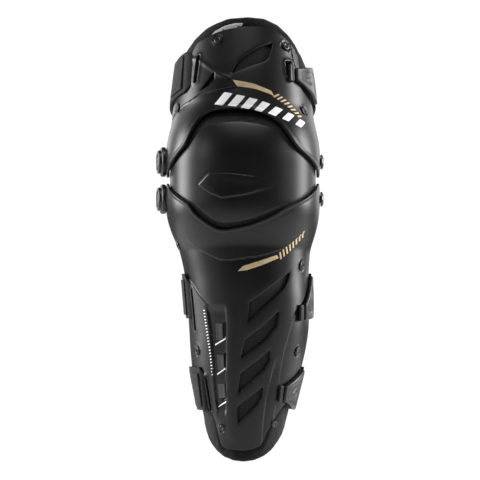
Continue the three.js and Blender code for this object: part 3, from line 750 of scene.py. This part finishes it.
C_HOLES = [fillet(P2([(-10.4, 74), (-5.2, 86.6), (1.7, 94.7), (13.2, 104.6), (26.9, 112.6), (25.7, 106.3), (21.9, 92.7), (18.3, 88.7), (2.6, 80.7)]), 2.0),
           fillet(P2([(-37.6, 58.9), (-32.5, 66.7), (-25.2, 77.5), (-25.2, 68.8), (-30.6, 62.9)]), 1.4),
           fillet(P2([(-44.3, 70), (-41.8, 70), (-39.4, 101), (-41.9, 101)]), 1.0, 0.9),
           fillet(P2([(38.9, 93.6), (44.8, 95.6), (44.0, 79.0), (38.9, 77.4)]), 1.0, 0.9)]
outC = cuff_outline()
ARCH_LINE = curve(P2(CUFF_ARCH), 1.2)
CUFF_RIV = {"top_left": (-22.3, 115.1), "top_right": (39.8, 112.2), "side_left": (-66.8, 50.8), "side_right": (57.8, 43)}
C_CR1 = curve(P2(on_cuff(fv([(236, 86), (224, 88), (213, 90), (200, 93), (190, 100), (178, 108), (172, 118)]))), 1.3)
C_CR2 = curve(P2(on_cuff(fv([(318, 92), (306, 80), (296, 66), (292, 48)]))), 1.3)
C_CR3 = curve(P2(on_cuff(fv([(186, 62), (196, 58), (208, 66), (218, 74), (229, 78)]))), 1.3)


def cuff_relief(p):
    deg, z = p[:, 0] / KD, p[:, 1]
    h = np.zeros(len(p))
    d, s = dist(ARCH_LINE, p)
    m = smooth01((84 - np.abs(deg)) / 10)
    h += m * (0.7 * np.exp(-((d - 1.6) / 1.5) ** 2) - 0.4 * np.exp(-((d - 4.6) / 0.9) ** 2))
    d, s = dist(C_CR1, p)
    h -= np.where(s > 0, 1.3 * np.exp(-d / 8) * smooth01(d / 0.5), 0)
    d, s = dist(C_CR2, p)
    h -= np.where(s > 0, 1.1 * np.exp(-d / 9) * smooth01(d / 0.5), 0)
    d, s = dist(C_CR3, p)
    h += 0.7 * np.exp(-(d / 1.8) ** 2)
    for hp in C_HOLES[:2]:
        d, _ = dist(hp, p, closed=True)
        h -= 0.55 * np.exp(-d / 1.6)
    for hp in C_HOLES[2:]:
        d, _ = dist(hp, p, closed=True)
        h += 0.7 * np.exp(-((d - 1.6) / 1.3) ** 2)
    for rd, rz in CUFF_RIV.values():
        d = np.hypot((deg - rd) * 1.22, z - rz)
        h -= 0.75 * smooth01((6.4 - d) / 0.9) - 0.3 * np.exp(-((d - 6.9) / 0.8) ** 2)
    return h


cuff = patch("cuff_shell_fine", cuff_s, outC, C_HOLES + [pivot_hole(sd * 90, 0, A_H) for sd in (-1, 1)], M_SHELL, depth=3.0, spacing=SP,
             lines=both_sides(C_CR1, 0.28) + both_sides(C_CR2, 0.28), height=cuff_relief, edge=0.9, tilt=True)
place(cuff, "cuff", "shell_plastic", "cuff_shell")
print("cuff", len(cuff.data.polygons))


# ------------------------------------------------------------------ knee cup
def cap_z(deg, span):
    a = abs(deg)
    full = 71 * math.sin(math.radians(span)) * math.cos(math.radians(min(a, 62) * 0.75)) ** 0.8
    if a >= 90:
        return 18 * math.sqrt(max(0.0, 1 - ((a - 90) / 13) ** 2))
    t = min(1, max(0, (a - 50) / 40))
    t = t * t * (3 - 2 * t)
    return full + (18 - full) * t


degs = [-103 + 13 * (1 - math.cos(a)) for a in np.linspace(0.0, math.pi / 2, 10)] + list(np.linspace(-88.8, 88.8, 150)) + [103 - 13 * (1 - math.cos(a)) for a in np.linspace(math.pi / 2, 0.0, 10)]
lowK = P2([(d, -cap_z(d, 58)) for d in degs])
topK = P2([(d, GAP + cap_z(d, 62)) for d in degs])[::-1]
midR = resample(P2([(103, 0.5), (103, 39.5)]), 1.6)
midL = midR[::-1] * np.array([-1, 1])
outK = np.vstack([lowK[:-1], midR, topK[1:-1], midL])
DOME = fillet(P2(on_dome(fv([(168, 175), (172, 165), (178, 157), (186, 148), (193, 140), (200, 131), (208, 126), (222, 123), (240, 122), (258, 124), (270, 128), (280, 136), (288, 145), (298, 152), (306, 160), (312, 170), (316, 180), (312, 188), (305, 195), (292, 202), (280, 207), (266, 213), (250, 219), (235, 222), (222, 223), (212, 219), (205, 213), (196, 205), (186, 200), (176, 193), (170, 186)]))), 3.0, 1.2)
EMB = fillet(P2([(-37.5, 15), (-28.8, 26.8), (-12.9, 27.8), (14, 23.5), (33, 17.5), (21.3, 11.2), (1.7, 4.6), (-17.9, 1.1), (-28.5, 6.5)]), 1.6, 1.0)


def offset_loop(poly, d):
    t = np.roll(poly, -1, axis=0) - np.roll(poly, 1, axis=0)
    t /= np.maximum(np.linalg.norm(t, axis=1, keepdims=True), 1e-9)
    n = np.stack([-t[:, 1], t[:, 0]], 1)
    q = poly + n * d
    dd, _ = dist(poly, q, closed=True)
    return resample(q[dd > abs(d) * 0.9], 1.3, closed=True)


def cup_relief(p):
    h = np.zeros(len(p))
    d, _ = dist(DOME, p, closed=True)
    i = inside(DOME, p)
    sd = np.where(i, d, -d)
    h += 0.4 * smooth01((sd + 0.8) / 2.4)
    d, _ = dist(EMB, p, closed=True)
    i = inside(EMB, p)
    sd = np.where(i, d, -d)
    fade = 0.15 + 0.85 * smooth01((30 - p[:, 0] / KD) / 28)
    h += fade * (0.85 * smooth01((sd + 0.25) / 1.1) - 0.5 * smooth01((sd - 3.2) / 7) - 0.25 * np.exp(-((sd + 1.6) / 1.0) ** 2))
    return h


def cup_zone(c):
    return np.where(inside(DOME, c), 0, 1)


loops = [np.vstack([q, q[:1]]) for q in (offset_loop(DOME, 0.25), offset_loop(DOME, -1.3), offset_loop(EMB, 0.3), offset_loop(EMB, -0.9))]
cup = patch("knee_cup_fine", dome_s, outK, [pivot_hole(sd * 90, z, A_D) for sd in (-1, 1) for z in (0, GAP)], [M_CUP, M_BAND], depth=3.0,
            spacing=SP, lines=[l[:-1] for l in loops], height=cup_relief, edge=0.9, zone=cup_zone)
place(cup, "knee_cup", "cup_plastic", "knee_cup_shell")
print("cup", len(cup.data.polygons))


# ------------------------------------------------------------------ pads
def quilt(p, a, b):
    """Sewn channels along two slanted directions."""
    u = (p[:, 0] * math.cos(a) + p[:, 1] * math.sin(a)) / b
    v = (p[:, 0] * math.cos(a) - p[:, 1] * math.sin(a)) / b
    g = lambda t: np.exp(-(np.abs((t % 1) - 0.5) * b / 1.5) ** 2)
    return np.maximum(g(u), g(v))


def pad(name, S, outer, top, thick, body, slot, node, tilt=False, round_=3.4, crown=0.0, q=None, holes=(), mats=None, spacing=3.2, face=None):
    def up(p):
        d, _ = dist(outer, p, closed=True)
        h = crown * smooth01(d / 14)
        h += 0.22 * np.sin(p[:, 0] * 0.31) * np.sin(p[:, 1] * 0.27 + 1.0)
        if face is not None:
            h += face(p, d)
        return h

    def low(p):
        d, _ = dist(outer, p, closed=True)
        t = np.clip(1 - d / round_, 0, 1)
        h = np.full(len(p), top - thick) + round_ * (1 - np.sqrt(np.clip(1 - t * t, 0, 1))) * 0.9
        if q:
            h += 1.3 * quilt(p, *q) * smooth01((d - 5) / 4)
        return h
    o = patch(name, S, outer, list(holes), mats or [M_PAD2, M_PAD], base=top, depth=thick, spacing=spacing, height=up,
              edge=round_, zone=lambda c: np.ones(len(c)), tilt=tilt, bottom=low, sharp=60)
    place(o, body, slot, node)
    return o


def band(low, top, deg, step=2.0):
    ds = np.arange(-deg, deg + 0.01, step)
    b = P2([(d, lin(low, d)) for d in ds])
    t = P2([(d, lin(top, d)) for d in ds])[::-1]
    return fillet(np.vstack([b, t]), 1.5, 1.6)


SP_LOW = [(-106, -233), (-90, -243), (-76, -252), (-60, -261.5), (-45, -270), (-30, -276.5), (-15, -280.3), (0, -281.5), (15, -280.3), (30, -276.5), (45, -270), (60, -261.5), (76, -252), (90, -243), (106, -233)]
SP_TOP = [(-106, -61), (-90, -61), (-75, -65), (-60, -67), (-45, -66), (-30, -61), (-15, -56.5), (0, -55), (15, -56.5), (30, -61), (45, -66), (60, -67), (75, -65), (90, -61), (106, -61)]
CP_TOP = [(-106, 92), (-90, 100), (-70, 112), (-50, 127), (-35, 135), (-15, 141.5), (5, 143), (20, 142.5), (35, 138), (50, 128), (62, 116), (90, 100), (106, 92)]
shin_out = band(SP_LOW, SP_TOP, 105.6)
cuff_out = band([(-106, 52.3), (106, 52.3)], CP_TOP, 105.6)


def rim(S_out, mx):
    """The liner swells a little where it leaves the shell."""
    def f(p, d):
        i = inside(S_out, p)
        dd, _ = dist(S_out, p, closed=True)
        out = np.where(i, 0, dd)
        r = mx * smooth01((out - 1.2) / 5)
        stitch = 0.5 * np.exp(-((d - 5.5) / 0.8) ** 2)
        return r - stitch * (out > 0)
    return f


pad("shin_pad_fine", shin_s, shin_out, -4.8, 8.2, "shin", "liner_fabric", "shin_pad", q=(0.7, 22), face=rim(outS, 2.4))
pad("cuff_pad_fine", cuff_s, cuff_out, -4.8, 8.2, "cuff", "liner_fabric", "cuff_pad", tilt=True, q=(0.7, 22), face=rim(outC, 2.6))
kd_lo = P2([(d, -cap_z(d, 58) + 5.5) for d in np.arange(-59.5, 59.6, 2)])
kd_hi = P2([(d, GAP + cap_z(d, 62) - 5.5) for d in np.arange(-59.5, 59.6, 2)])[::-1]
pad("knee_cup_pad_fine", dome_s, fillet(np.vstack([kd_lo, kd_hi]), 3, 1.8), -4.1, 8.0, "knee_cup", "liner_fabric", "knee_cup_pad", q=(0.8, 20))


def slab(name, S, outer, front, flat_y, body, node, tilt=False):
    """A comfort cushion: its front follows the shell and its back is flat, crowned and rolled at the rim."""
    def low_pts(p):
        d, _ = dist(outer, p, closed=True)
        return d
    o = patch(name, S, outer, [], [M_PAD2, M_PAD2], base=front, depth=3, spacing=3.0, edge=2.2, sharp=60, bottom=lambda p: np.full(len(p), front - 3.0))
    me = o.data
    v = np.array([x.co[:] for x in me.vertices]) * 1000
    n = len(v) // 2
    deg = np.degrees(np.arctan2(v[n:, 0], -v[n:, 1]))
    pts = flat_pts(S, v[n:])
    d, _ = dist(outer, pts, closed=True)
    t = np.clip(1 - d / 5, 0, 1)
    y = flat_y - 4.2 * (1 - np.sqrt(np.clip(1 - t * t, 0, 1))) - 0.9 * quilt(pts, 0.8, 16) * smooth01((d - 5) / 4)
    v[n:, 1] = np.maximum(v[n:, 1], y)
    vv = lean(v) if tilt else v
    for x, c in zip(me.vertices, vv * MM):
        x.co = c
    me.update()
    place(o, body, "liner_fabric", node)
    return o


def flat_pts(S, v):
    c = np.interp(v[:, 2], [a for a, _ in SH_C], [b for _, b in SH_C]) if S is shin_s else 0
    return np.stack([np.degrees(np.arctan2(v[:, 0] - c, -v[:, 1])) * KD, v[:, 2]], 1)


sc_o = fillet(P2([(-29.5, -199), (-18, -204.6), (18, -204.6), (29.5, -199), (29.5, -106), (18, -100.4), (-18, -100.4), (-29.5, -106)]), 4, 1.8)
slab("shin_comfort_pad_fine", shin_s, sc_o, -13.7, -32.5, "shin", "shin_comfort_pad")
cc_o = fillet(P2([(-33.5, 70.4), (33.5, 70.4), (33.5, 119.6), (-33.5, 119.6)]), 5, 1.8)
slab("cuff_comfort_pad_fine", cuff_s, cc_o, -13.7, -39.5, "cuff", "cuff_comfort_pad", tilt=True)


# ------------------------------------------------------------------ vent mesh
def vent(name, S, box, base, thick, body, node, tilt=False):
    d0, d1, z0, z1 = box
    out = fillet(P2([(d0, z0), (d1, z0), (d1, z1), (d0, z1)]), 2, 2)
    o = patch(name, S, out, [], M_MESH, base=-base, depth=thick, spacing=3.0, edge=0.15, inner_edge=0.1, tilt=tilt)
    place(o, body, "vent_mesh", node)
    dd = np.linspace(d0, d1, 60)
    zz = np.linspace(z0, z1, 60)
    w = np.linalg.norm(np.diff(S(dd, np.full(60, z1 if S is shin_s else z0)), axis=0), axis=1).sum()
    h = np.linalg.norm(np.diff(S(np.full(60, 0.0), zz), axis=0), axis=1).sum()
    w, h = w * MM, h * MM
    return o


vent("shin_vent_mesh_fine", shin_s, (-36, 50, -239.6, -76.2), 3.75, 0.62, "shin", "shin_vent_mesh")
vent("cuff_vent_mesh_fine", cuff_s, (-14, 30, 66.2, 108.3), 3.62, 0.62, "cuff", "cuff_vent_mesh", tilt=True)


# ------------------------------------------------------------------ straps, buckles, catches
def wrap(S):
    return lambda deg, z: S(((np.asarray(deg, float) + 180) % 360) - 180, z)


def strap(name, S, a0, a1, z0, z1, body, node, tilt=False, dip=None):
    c, hh = (z0 + z1) / 2, (z1 - z0) / 2
    out = [(a0, c - hh)] + [(a1, c - hh), (a1, c + hh)] + [(a0, c + hh)]
    sgn = [(a, b) for a, b in out]
    if dip:
        sgn = [(a0 + 5.5, c - hh + 0.5), (dip[0], dip[1]), (dip[0], dip[2]), (a0 + 5.5 if a0 < a1 else a0 - 5.5, c + hh - 0.5)]
        sgn = [(a1, c - hh), (a0 - 4, c - hh), (dip[0], dip[1]), (dip[0], dip[2]), (a0 - 4, c + hh), (a1, c + hh)]
    outer = fillet(P2(sgn), 1.2, 1.8)
    W = wrap(S)

    def h(p):
        deg, z = p[:, 0] / KD, p[:, 1]
        v = 0.16 * np.sin(z * 2 * math.pi / 6.0) * smooth01((hh - np.abs(z - c) - 2.5) / 1.5)
        v += 0.3 * np.exp(-((np.abs(z - c) - hh + 2.2) / 0.8) ** 2) * -1
        v += 0.35 * np.sin(deg * 0.09) * np.cos(z * 0.05)
        if dip:
            v -= 5.4 * smooth01((deg - (a0 - 3.5)) / (dip[0] - a0 + 3.5)) ** 1.2
        return v
    lowh = lambda p: 0.8 + (h(p) if dip else 0 * p[:, 0]) * (1 if dip else 0) - (0 if dip else 0)
    o = patch(name, W, outer, [], M_STRAP, base=3.2, depth=2.5, spacing=2.3, height=h, edge=0.8, tilt=tilt, sharp=50,
              bottom=lambda p: 0.85 + np.minimum(0, -5.4 * smooth01((p[:, 0] / KD - (a0 - 3.5)) / (dip[0] - a0 + 3.5)) ** 1.2 if dip else 0 * p[:, 0]))
    place(o, body, "strap_elastic", node)
    return o


strap("thigh_strap_fine", cuff_s, -50, -272, 62, 110, "cuff", "thigh_strap", tilt=True, dip=(-42.6, 71, 100))
strap("calf_strap_upper_fine", shin_s, -68, -271, -128, -80, "shin", "calf_strap_upper", dip=(-63.8, -127, -97))
strap("calf_strap_lower_fine", shin_s, -52, -274, -226, -180, "shin", "calf_strap_lower", dip=(-47.6, -225, -191.5))


def keeper(name, S, d0, d1, z0, z1, body, tilt=False):
    """Stitched turn-back of the strap, a second layer beside the slot."""
    outer = fillet(P2([(d0, z0), (d1, z0), (d1, z1), (d0, z1)]), 1.2, 1.5)
    o = patch(name, wrap(S), outer, [], M_THREAD, base=4.9, depth=1.5, spacing=2.4, edge=0.7, tilt=tilt, sharp=50,
              height=lambda p: -0.35 * np.exp(-((dist(outer, p, closed=True)[0] - 2.2) / 0.5) ** 2))
    place(o, body, "strap_elastic")
    return o


keeper("calf_lower_turnback", shin_s, -75, -57, -222, -186, "shin")
keeper("calf_upper_turnback", shin_s, -90, -73, -124, -86, "shin")
keeper("thigh_turnback", cuff_s, -74, -56, 66, 106, "cuff", tilt=True)


def buckle(name, S, d0, d1, h0, h1, z0, z1, body, node, tilt=False):
    tip = [(d0, z0 - h0), (d1 - 3, z1 - h1), (d1, z1 - h1 + 4), (d1, z1 + h1 - 4), (d1 - 3, z1 + h1), (d0, z0 + h0)]
    outer = fillet(P2(tip), 2.0, 1.2)
    cx = (d0 * 0.45 + d1 * 0.55) * KD
    cz = z0 * 0.45 + z1 * 0.55
    face = np.array([(cx + (a - cx) * 0.68, cz + (b - cz) * 0.62) for a, b in fillet(P2(tip), 2.0, 1.4)])
    tri = fillet(P2([(d0 + (d1 - d0) * 0.30, z0), (d0 + (d1 - d0) * 0.58, z0 + h1 * 0.36), (d0 + (d1 - d0) * 0.52, z0 + h1 * 0.06), (d0 + (d1 - d0) * 0.86, z1 + h1 * 0.10), (d0 + (d1 - d0) * 0.56, z1 - h1 * 0.34)]), 1.0, 1.0)

    def h(p):
        d, _ = dist(outer, p, closed=True)
        i = inside(face, p)
        df, _ = dist(face, p, closed=True)
        v = -0.9 * smooth01((np.where(i, df, -df) + 0.4) / 1.1)
        it = inside(tri, p)
        dt, _ = dist(tri, p, closed=True)
        v += 0.8 * smooth01((np.where(it, dt, -dt) + 0.3) / 0.9)
        v += 0.35 * np.exp(-((d - 2.0) / 1.0) ** 2)
        return v
    o = patch(name, S, outer, [], M_BUCKLE, base=4.7, depth=3.6, spacing=1.3, height=h, edge=1.5, tilt=tilt,
              lines=[offset_loop(face, 0.3)[:-1], offset_loop(tri, 0.2)[:-1]])
    place(o, body, "buckle_plastic", node)
    return o


def catch(name, S, tip, zc, half, body, node, tilt=False):
    a, b = tip - 6.5, tip - 2.0
    outer = fillet(P2([(a, zc - half + 0.2), (b, zc - half + 0.2), (b, zc + half - 0.2), (a, zc + half - 0.2)]), 1.5, 0.8)
    o = patch(name, S, outer, [], M_BUCKLE, base=4.1, depth=3.7, spacing=1.2, edge=1.2, tilt=tilt,
              height=lambda p: -0.5 * np.exp(-((p[:, 0] / KD - (a + b) / 2) / 0.7) ** 2))
    place(o, body, "buckle_plastic", node)
    return o


buckle("thigh_buckle_fine", cuff_s, 47, 85.5, 7, 22, 80, 84, "thigh_buckle_tab", "thigh_buckle", tilt=True)
buckle("calf_buckle_upper_fine", shin_s, 61, 86.5, 8, 23, -122, -105, "calf_buckle_upper_tab", "calf_buckle_upper")
buckle("calf_buckle_lower_fine", shin_s, 45.5, 83.5, 8, 22, -208, -204, "calf_buckle_lower_tab", "calf_buckle_lower")
catch("thigh_catch_fine", cuff_s, 47, 80, 10, "cuff", "thigh_catch", tilt=True)
catch("calf_catch_upper_fine", shin_s, 61, -122, 9, "shin", "calf_catch_upper")
catch("calf_catch_lower_fine", shin_s, 45.5, -208, 9, "shin", "calf_catch_lower")

# ------------------------------------------------------------------ rivets and pivots
def rivet(name, S, deg, z, r, body, node, tilt=False):
    p, n = on_surface(S, deg, z, 0)
    prof = rounded([(0, -2.4), (2.6, -2.4), (2.6, -0.62), (r, -0.62), (r, 0.35), (r - 0.8, 1.05), (r * 0.5, 1.15), (r * 0.42, 0.75), (0, 0.7)], 0.25, 3)
    o = turned(name, prof, p, n, M_RIVET, seg=48, tilt=tilt, sharp=40)
    place(o, body, "rivet_metal", node)


for k, ((a, b), r) in SHIN_RIV.items():
    rivet(f"shin_rivet_{k}_fine", shin_s, a, b, r, "shin", f"shin_rivet_{k}")
for k, (a, b) in CUFF_RIV.items():
    rivet(f"cuff_rivet_{k}_fine", cuff_s, a, b, 4.8, "cuff", f"cuff_rivet_{k}", tilt=True)

cap_prof = rounded([(0, -1.0), (15.6, -1.0), (16, 0), (16, 3.0), (14.8, 4.2), (12.9, 4.2), (12.6, 4.6), (12.6, 6.9), (11.6, 7.8), (9.4, 7.8), (8.8, 6.7), (5.4, 6.7), (5.0, 7.5), (2.2, 7.5), (1.9, 6.6), (0, 6.6)], 0.35, 3)
riv_prof = rounded([(0, 82.4), (4.2, 82.4), (4.2, 83.4), (7.9, 83.4), (7.9, 85.1), (6.4, 86.4), (3.6, 86.9), (3.2, 86.2), (0, 86.1)], 0.35, 3)
for lvl, z, body in (("lower", 0, "shin"), ("upper", GAP, "cuff")):
    o = turned(f"pivot_cap_{lvl}_left_fine", cap_prof, (-84.6, 0, z), (-math.cos(math.radians(8)), -math.sin(math.radians(8)), 0), M_CAP, seg=96, sharp=38)
    place(o, body, "cap_plastic", f"pivot_cap_{lvl}_left")
    o = turned(f"pivot_rivet_{lvl}_right_fine", riv_prof, (0, 0, z), (1, 0, 0), M_RIVET, seg=72, sharp=38)
    place(o, body, "rivet_metal", f"pivot_rivet_{lvl}_right")
for n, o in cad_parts.items():
    m = M_NYLON if "washer" in n else M_STEEL if "pivot_pin" in n else None
    if m is not None:
        for s in o.material_slots:
            s.link = "OBJECT"
            s.material = m


# ------------------------------------------------------------------ printed marks and painted highlights
def film(name, S, loops, mat, relief, body, tilt=False, r=0.4, slot="shell_plastic"):
    """Printed shapes and painted highlights, a thin film standing 0.3 mm proud of the plastic."""
    made = []
    for i, lp in enumerate(loops):
        o = patch(f"{name}_{i}", S, fillet(P2(lp), r, 1.2), [], mat, spacing=1.1, edge=0.12, inner_edge=0, tilt=tilt,
                  height=lambda p: relief(p) + 0.36, bottom=lambda p: relief(p) - 0.3, sharp=50)
        made.append(o)
    for x in made[1:]:
        pass
    with bpy.context.temp_override(active_object=made[0], selected_editable_objects=made):
        if len(made) > 1:
            bpy.ops.object.join()
    o = made[0]
    o.name = name
    place(o, body, slot)
    return o


def bars(line, n, width, height, slant, taper=1.0, t0=0.0, t1=1.0):
    """Slanted bars along a line of (deg, z)."""
    L = curve(P2(line), 0.5)
    s = np.concatenate([[0], np.cumsum(np.linalg.norm(np.diff(L, axis=0), axis=1))])
    out = []
    for i in range(n):
        c = (t0 + (t1 - t0) * (i + 0.5) / n) * s[-1]
        w = (width[i] if hasattr(width, "__len__") else width) / 2
        hh = height * (1 + (taper - 1) * i / max(1, n - 1)) / 2
        q = []
        for ds, side in ((-w, -1), (w, -1), (w, 1), (-w, 1)):
            x = c + ds
            b = np.array([np.interp(x, s, L[:, 0]), np.interp(x, s, L[:, 1])])
            tn = np.array([np.interp(x + 1, s, L[:, 0]), np.interp(x + 1, s, L[:, 1])]) - np.array([np.interp(x - 1, s, L[:, 0]), np.interp(x - 1, s, L[:, 1])])
            tn /= np.linalg.norm(tn)
            nn = np.array([-tn[1], tn[0]])
            pt = b + nn * hh * side + tn * slant * hh * side
            q.append((pt[0] / KD, pt[1]))
        out.append(q)
    return out


film("shin_stripe_gold", shin_s, [[(-8.2, -77), (0.6, -76), (15.5, -70.6), (32.6, -63.1), (30.7, -59.9), (15.8, -65.3), (-3, -71.7)]], M_GOLD, shin_relief, "shin")
film("shin_hatch_gold", shin_s, bars([(32.7, -62.1), (46.4, -50.3), (58.6, -36.4)], 8, 2.3, 6.6, 0.5), M_GOLD, shin_relief, "shin")
film("cuff_stripe_gold", cuff_s, [[(-8.7, 65.9), (-5.2, 58.9), (11, 55.6), (27.1, 49.5), (24.4, 54.8), (9, 61.6)]], M_GOLD, cuff_relief, "cuff", tilt=True)
film("cuff_hatch_gold", cuff_s, bars([(27.5, 51.4), (40, 42.5), (51.5, 30.4)], 8, 2.0, 6.2, 0.5, 0.9), M_GOLD, cuff_relief, "cuff", tilt=True)
LOGO = on_cuff(fv([(217, 98), (240, 102), (262, 107), (284, 115), (306, 127)]))
film("cuff_blocks_white", cuff_s, bars(LOGO, 7, [9, 9, 9, 8, 8, 7, 7], 15.5, 0.45, 0.7), M_WHITE, cuff_relief, "cuff", tilt=True, r=0.8)
TICK = on_shin(fv([(204, 309), (207, 330), (210, 352), (213, 376)]))
film("shin_ticks_white", shin_s, bars(TICK, 22, 1.0, 2.4, 0.0), M_WHITE, shin_relief, "shin", r=0.2)

# Painted highlights: three white slashes on the lower lips of the small vents, where the bevels catch the light, made
# as a white film and not print.
VENT_LIP_HIGHLIGHTS = [on_shin(fv([(a, b + 0.6), (c, d + 0.6), (c, d - 0.7), (a, b - 0.7)])) for a, b, c, d in ((214, 345, 225, 338.5), (216.5, 374.5, 225, 368.5), (217.5, 407, 226, 401.5))]
film("shin_vent_lip_painted_highlights", shin_s, VENT_LIP_HIGHLIGHTS, M_WHITE, shin_relief, "shin", r=0.15)
BLOCK = [on_shin(fv([(a, b), (a + 7, b), (a + 8, b + h), (a + 1, b + h)])) for a, b, h in ((214.5, 324, 16), (216, 355, 15), (217, 384, 14))]
film("shin_blocks_grey", shin_s, BLOCK, M_GREY, shin_relief, "shin", r=0.6)
flat0 = lambda p: np.full(len(p), -4.8) + rim(outC, 2.6)(p, dist(cuff_out, p, closed=True)[0])
STRIP = on_cuff(fv([(207, 36.5), (208, 33.5), (214, 29), (224, 24), (236, 21.2), (243, 20.6), (241, 24.6), (233, 25.4), (222, 28.4), (213, 33)]))
film("liner_strip_white", cuff_s, [STRIP], M_WHITE, flat0, "cuff", tilt=True, r=0.5, slot="liner_fabric")


# ------------------------------------------------------------------ stage, light, camera
def lamp(name, loc, target, size, energy, color=(1, 1, 1)):
    d = bpy.data.lights.new(name, "AREA")
    d.shape = "RECTANGLE"
    d.size, d.size_y = size
    d.energy = energy
    d.color = color
    o = bpy.data.objects.new(name, d)
    o.location = loc
    o.rotation_euler = (Vector(target) - Vector(loc)).to_track_quat("-Z", "Y").to_euler()
    coll.objects.link(o)
    return o


lamp("side_left", (-1.5, 0.2, 0.32), (0, 0, 0.0), (0.75, 1.05), 46)
lamp("side_right", (1.5, 0.2, 0.36), (0, 0, 0), (0.6, 1.05), 42)
lamp("key_left", (-1.45, -1.25, 0.6), (-0.02, 0, -0.02), (0.3, 1.0), 6)
lamp("key_right", (1.6, -1.0, 0.6), (0.02, 0, 0), (0.3, 1.0), 5)
lamp("top_box", (0.05, -0.3, 1.8), (0, 0, 0.08), (0.9, 0.5), 9)
lamp("front_fill", (0.2, -1.5, 2.6), (0, 0, 0), (1.2, 1.0), 7)
lamp("back_left", (-1.0, 1.9, 0.6), (0, 0, 0), (0.9, 1.3), 10)
lamp("back_right", (1.1, 1.9, 0.5), (0, 0, 0), (0.9, 1.3), 9)
w = bpy.data.worlds.new("studio")
bpy.context.scene.world = w
w.use_nodes = True
nt = w.node_tree
bg = nt.nodes["Background"]
bg.inputs["Color"].default_value = (1, 1, 1, 1)
bg.inputs["Strength"].default_value = 0.035
bg2 = nt.nodes.new("ShaderNodeBackground")
bg2.inputs["Color"].default_value = (1, 1, 1, 1)
bg2.inputs["Strength"].default_value = 1.05
lp = nt.nodes.new("ShaderNodeLightPath")
mx = nt.nodes.new("ShaderNodeMixShader")
nt.links.new(lp.outputs["Is Camera Ray"], mx.inputs[0])
nt.links.new(bg.outputs[0], mx.inputs[1])
nt.links.new(bg2.outputs[0], mx.inputs[2])
nt.links.new(mx.outputs[0], nt.nodes["World Output"].inputs["Surface"])
fl = bpy.data.meshes.new("floor")
R = 1.05
fl.from_pydata([(R * math.cos(a), R * math.sin(a), -0.345) for a in np.linspace(0, 2 * math.pi, 64, endpoint=False)], [], [tuple(range(64))])
fm, nt, p, co = nodes_of("floor_white")
p.inputs["Base Color"].default_value = (0.85, 0.85, 0.85, 1)
p.inputs["Roughness"].default_value = 0.9
p.inputs["Emission Color"].default_value = (1, 1, 1, 1)
p.inputs["Emission Strength"].default_value = 0.1
fl.materials.append(fm)
fo = bpy.data.objects.new("floor", fl)
coll.objects.link(fo)
sc = bpy.context.scene
cd = bpy.data.cameras.new("main")
cd.sensor_width = 36
cd.lens = 36 * 5.96 / 0.5136
cam = bpy.data.objects.new("main", cd)
cam.location = (-0.0032, -6.0, -0.0439)
cam.rotation_euler = (math.pi / 2, 0, 0)
coll.objects.link(cam)
sc.camera = cam
sc.view_settings.view_transform = "Standard"
sc.view_settings.look = "None"
